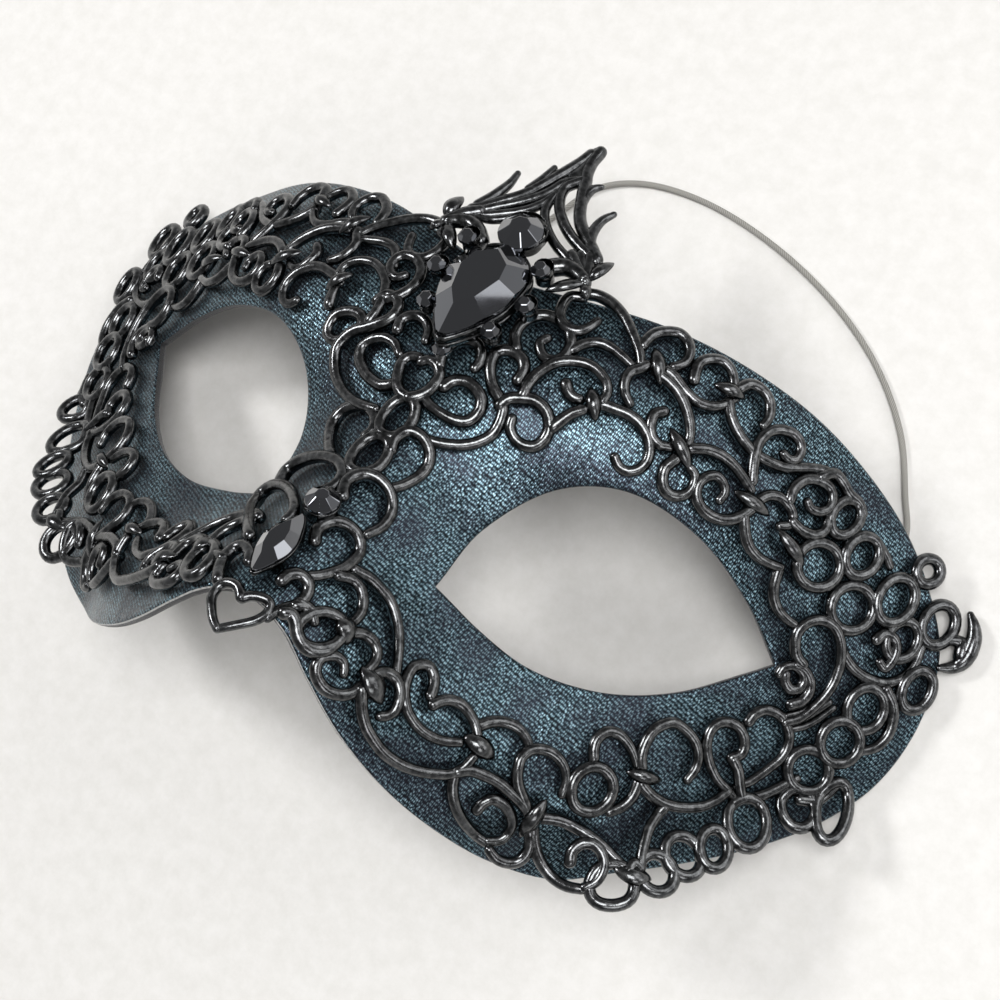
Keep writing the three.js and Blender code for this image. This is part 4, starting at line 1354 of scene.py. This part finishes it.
# Crown and nose castings, with the seats that hold the stones
crownRibs = [  # the run of each rib of the crown, its thickness at the root and at its end
    ([(0.6, 74), (0.6, 71.2), (1.3, 68.6), (2.4, 66.5), (3.3, 64.3), (4.3, 62.2), (5.4, 60.2), (7, 58.2),
      (9.3, 56.4), (11.8, 54.6), (13.9, 53)], 1.2, 1.2),
    ([(2.1, 67.4), (0.5, 65.5), (-0.3, 64), (0.1, 61.8), (1.7, 59.3), (3.8, 57.3), (6.6, 55.4), (9.4, 54.1),
      (12.5, 53)], 1.05, 1.05),
    ([(-1, 62.3), (-1, 59.9), (-0.4, 57.7), (1.3, 55.5), (3.6, 53.6), (6.1, 52.1), (8.5, 51.1),
      (10.8, 50.1)], 0.9, 0.9),
    ([(4.3, 62.6), (4, 64.7), (4.4, 66.2), (5.4, 67.2)], 1.0, 0.55),
    ([(13.9, 52.5), (11.8, 54.3), (10.3, 56.3), (9.7, 58.8), (9.9, 61), (10.9, 62.9)], 1.2, 0.6),
    ([(9.6, 51.7), (11.3, 50.6), (13.1, 49.3), (14.8, 48)], 1.2, 1.2),
    ([(12.6, 53.1), (13.4, 51.3), (14.1, 49.6), (15.1, 47.9)], 1.2, 1.0),
    ([(11, 52.4), (12.4, 50.6), (13.9, 48.9), (15.1, 47.6)], 1.1, 1.0),
    ([(6.6, 46.6), (8.5, 48.3), (10, 49.1), (11.9, 49.1), (14.1, 48.4)], 1.7, 1.4),
    ([(-0.6, 72.8), (-1.2, 70.4), (-2.1, 68), (-3, 65.8), (-3.8, 63.8), (-4.8, 61.6), (-5.8, 59.6),
      (-7.1, 57.8), (-8.8, 55.9), (-10.7, 53.7), (-12.4, 52.1)], 1.1, 1.1),
    ([(1.6, 66.9), (-0.1, 65.7), (-1.3, 64.4), (-2, 62.4), (-3, 60.5), (-4.5, 58.6), (-6.4, 56.6),
      (-8.3, 54.9), (-10.3, 53), (-12, 51.6)], 1.0, 1.0),
    ([(-1, 62), (-1.6, 59.6), (-3, 57.2), (-4.8, 55.3), (-6.9, 53.7), (-9.2, 52.2),
      (-11.2, 51.2)], 0.9, 0.9),
    ([(-3.5, 55), (-5.7, 53.1), (-8.1, 51.6), (-10.9, 51.1)], 0.8, 0.8),
    ([(-5.9, 60.6), (-5.2, 63.1), (-4.9, 65.2), (-4.8, 67)], 1.0, 0.6),
    ([(-12, 53.3), (-10.9, 55.9), (-10.2, 58.4), (-9.9, 60.4), (-10, 62.8)], 1.1, 0.6),
    ([(-10.8, 52.2), (-12.6, 50.8), (-14, 49.2), (-15, 47.6)], 1.4, 1.2),
    ([(-6.6, 46.8), (-8.5, 48.4), (-10.6, 49.3), (-12.6, 49), (-14.4, 48)], 1.6, 1.3),
]
crownLeaves = [  # middle, length, lean and breadth
    (16, 51.1, 5.8, 72, 1.05), (12.7, 45.8, 8, 42, 1.0), (16.2, 46.4, 3.8, -50, 0.8),
    (-15.7, 51, 5.4, 90, 1.25), (-12.4, 45.4, 6.8, 137, 1.05), (-15.6, 46.2, 3.6, -120, 0.8),
]
crownTip = {
    "x": 0.3,
    "from": 67.4,
    "to": 73.6,
    "widths": [2.1, 1.7, 1.35, 1.2, 1.15, 1.2, 1.35],
    "height": 1.0,
}
seatShares = {"inner": 1.01, "outer": 1.06, "top": 1.04}  # of the stone's outline
seatDrops = {"inner": 0.1, "outer": 0.15}  # under the rim's top
ringSides = {"seat": 24, "smallSeat": 16}
seats = {  # foot and top of each rim, then foot, top and share of the pad under the stone
    "pear": (-0.6, 1.7, -1, 0, 1.07),
    "crest": (1.4, 3.3, -0.6, 2.2, 0.8),
    "nose": (-0.3, 1.3, -0.6, 0.4, 1.05),
    "marquise": (-0.3, 1.5, -0.6, 0.4, 1.05),
    "chin": (-0.3, 1.2, -0.6, 0.4, 1.05),
}
# A small stone's rim is measured from the stone's lift, and the pad's foot from the crown's plane
smallSeat = {"foot": -0.6, "top": 0.75, "padFoot": -0.8}


# A ring of corners round a stone's place, at a share of its outline
def ringAt(shape, x, y, place, outline, share, high):
    across, upward, outward = seatAxes(x, y, 0, place)
    base = place(x, y)
    spots = (base + across * a * share + upward * b * share + outward * high for a, b in outline)
    return shape.addCorners(spots)


# A low rim round a stone, standing on the casting
def addSeat(shape, x, y, place, outline, bottom, top):
    levels = [
        (seatShares["inner"], bottom),
        (seatShares["outer"], bottom),
        (seatShares["outer"], top - seatDrops["outer"]),
        (seatShares["top"], top),
        (seatShares["inner"], top - seatDrops["inner"]),
    ]
    rings = [ringAt(shape, x, y, place, outline, share, high) for share, high in levels]
    for here in range(len(rings)):
        shape.addBand(rings[here], rings[(here + 1) % len(rings)])


def addPad(shape, x, y, place, outline, bottom, top, share):
    lower, upper = (ringAt(shape, x, y, place, outline, share, high) for high in (bottom, top))
    shape.addBand(lower, upper)
    shape.addFace(list(reversed(lower)))
    shape.addFace(upper)


def addMount(shape, x, y, place, outline, seat):
    bottom, top, padBottom, padTop, padShare = seats[seat]
    addPad(shape, x, y, place, outline, padBottom, padTop, padShare)
    addSeat(shape, x, y, place, outline, bottom, top)


def addCrownTip(shape):
    count = len(crownTip["widths"])
    reach = crownTip["to"] - crownTip["from"]
    ups = [crownTip["from"] + reach * k / (count - 1) for k in range(count)]
    spots = [onCrown(crownTip["x"], up, crownPlane["wireLift"]) for up in ups]
    outwards = [Vector((0, crownPlane["slope"], 1)).normalized()] * count
    bar = roundedEnds(spots, crownTip["widths"], [crownTip["height"]] * count, outwards)
    addBar(shape, *bar, scrollSize["sides"])


def makeCrown():
    shape = Shape()
    for stroke, root, end in crownRibs:
        addWire(shape, stroke, onCrown, root * scrollSize["crownShare"], end / root, crownPlane["wireLift"])
    for *leaf, broad in crownLeaves:
        addLeaf(shape, leaf, 1, onCrown, broad)
    addCrownTip(shape)
    addMount(shape, 0, pearCut["y"], onCrown, pearOutline(), "pear")
    crest = roundCuts["crest_stone"]
    addMount(shape, *crest["at"], onCrown, roundLine(crest["radius"], ringSides["seat"]), "crest")
    outline = roundLine(smallCut["radius"], ringSides["smallSeat"])
    for x, y, lift in smallPlaces:
        addPad(shape, x, y, onCrown, outline, smallSeat["padFoot"], lift, 1.0)
        addSeat(shape, x, y, onCrown, outline, lift + smallSeat["foot"], lift + smallSeat["top"])
    return finishPiece(shape.build("crown", [castMaterial]), "crown_filigree", slot="black_casting")


def makeNose():
    shape = Shape()
    addStrokes(shape, noseLeft + noseRight, 1, onScroll, scrollSize["noseShare"])
    addStrokes(shape, heartStrokes, 1, onScroll, scrollSize["heartShare"])
    for oval in noseRings:
        addRing(shape, oval, 1, onScroll)
    nose = roundCuts["nose_stone"]
    addMount(shape, *nose["at"], onScroll, roundLine(nose["radius"], ringSides["seat"]), "nose")
    addMount(shape, 0, marquiseCut["y"], onScroll, marquiseOutline(), "marquise")
    outline = roundLine(smallCut["radius"], ringSides["smallSeat"])
    addMount(shape, 0, chinStone["y"], onScroll, outline, "chin")
    return finishPiece(shape.build("nose_scrolls", [castMaterial]), "nose_filigree", slot="black_casting")


makeCrown()
makeNose()
print("crown and nose made")

# Table top and light
stageLook = {"table": "#dbd9d6", "fleck": "#d3d1cd", "fleckMm": 4, "roughness": 0.6, "reach": 3}
skyPlan = {"horizon": 0.8, "zenith": 0.2, "blendTo": 0.4}  # the darker zenith starts at this height
lightPlan = {  # places in metres from the mask, as seen from the camera
    "key": {"across": 0.6, "up": 0.43, "out": 0.7, "size": 0.6, "watts": 2.55},
    "top": {"across": -0.02, "up": 0.16, "out": 0.95, "size": 0.4, "watts": 6.3},
    "strip": {"across": -0.7, "up": 0.45, "out": 0.4, "size": 0.2, "watts": 3.8},
    "low": {"across": 0.75, "up": -0.06, "out": 0.62, "size": 0.3, "watts": 0.9},
    "front": {"across": 0.2, "up": -0.5, "out": 0.85, "size": 0.34, "watts": 1.5},
}


def makeTable():
    material, tree = newMaterial("paleTable")
    place = addNode(tree, "ShaderNodeTexCoord")
    flecks = addNode(
        tree,
        "ShaderNodeTexNoise",
        {"Scale": 1 / (stageLook["fleckMm"] * mm), "Detail": 6.0, "Roughness": 0.7},
        {"Vector": place.outputs["Object"]},
    )
    colour = addRamp(tree, flecks.outputs["Fac"], [(0.35, stageLook["fleck"]), (0.65, stageLook["table"])])
    finishMaterial(tree, {"Roughness": stageLook["roughness"]}, {"Base Color": colour.outputs["Color"]})
    mesh = bpy.data.meshes.new("table")
    reach = stageLook["reach"]
    corners = [(x * reach, y * reach, 0) for x, y in ((-1, -1), (1, -1), (1, 1), (-1, 1))]
    mesh.from_pydata(corners, [], [(0, 1, 2, 3)])
    mesh.materials.append(material)
    table = bpy.data.objects.new("table", mesh)
    bpy.context.scene.collection.objects.link(table)


def makeLight(name, plan):
    data = bpy.data.lights.new(name, "AREA")
    data.shape = "SQUARE"
    data.size = plan["size"]
    data.energy = plan["watts"]
    light = bpy.data.objects.new(name, data)
    place = viewTarget + viewRight * plan["across"] + viewUp * plan["up"] + viewBack * plan["out"]
    light.matrix_world = aimed(place, (place - viewTarget).normalized(), viewUp)
    bpy.context.scene.collection.objects.link(light)


def makeSky():
    world = bpy.data.worlds.new("studio")
    world.use_nodes = True
    tree = world.node_tree
    tree.nodes.clear()
    towards = addNode(tree, "ShaderNodeTexCoord")
    parts = addNode(tree, "ShaderNodeSeparateXYZ", links={"Vector": towards.outputs["Generated"]})
    level = addNode(
        tree,
        "ShaderNodeMapRange",
        {
            "From Min": 0.0,
            "From Max": skyPlan["blendTo"],
            "To Min": skyPlan["horizon"],
            "To Max": skyPlan["zenith"],
        },
        {"Value": parts.outputs["Z"]},
    )
    back = addNode(
        tree,
        "ShaderNodeBackground",
        {"Color": (1, 1, 1, 1)},
        {"Strength": level.outputs["Result"]},
    )
    addNode(tree, "ShaderNodeOutputWorld", links={"Surface": back.outputs["Background"]})
    bpy.context.scene.world = world


makeTable()
makeSky()
for name, plan in lightPlan.items():
    makeLight(name, plan)
bpy.context.scene.view_settings.view_transform = "Standard"
print("stage set")
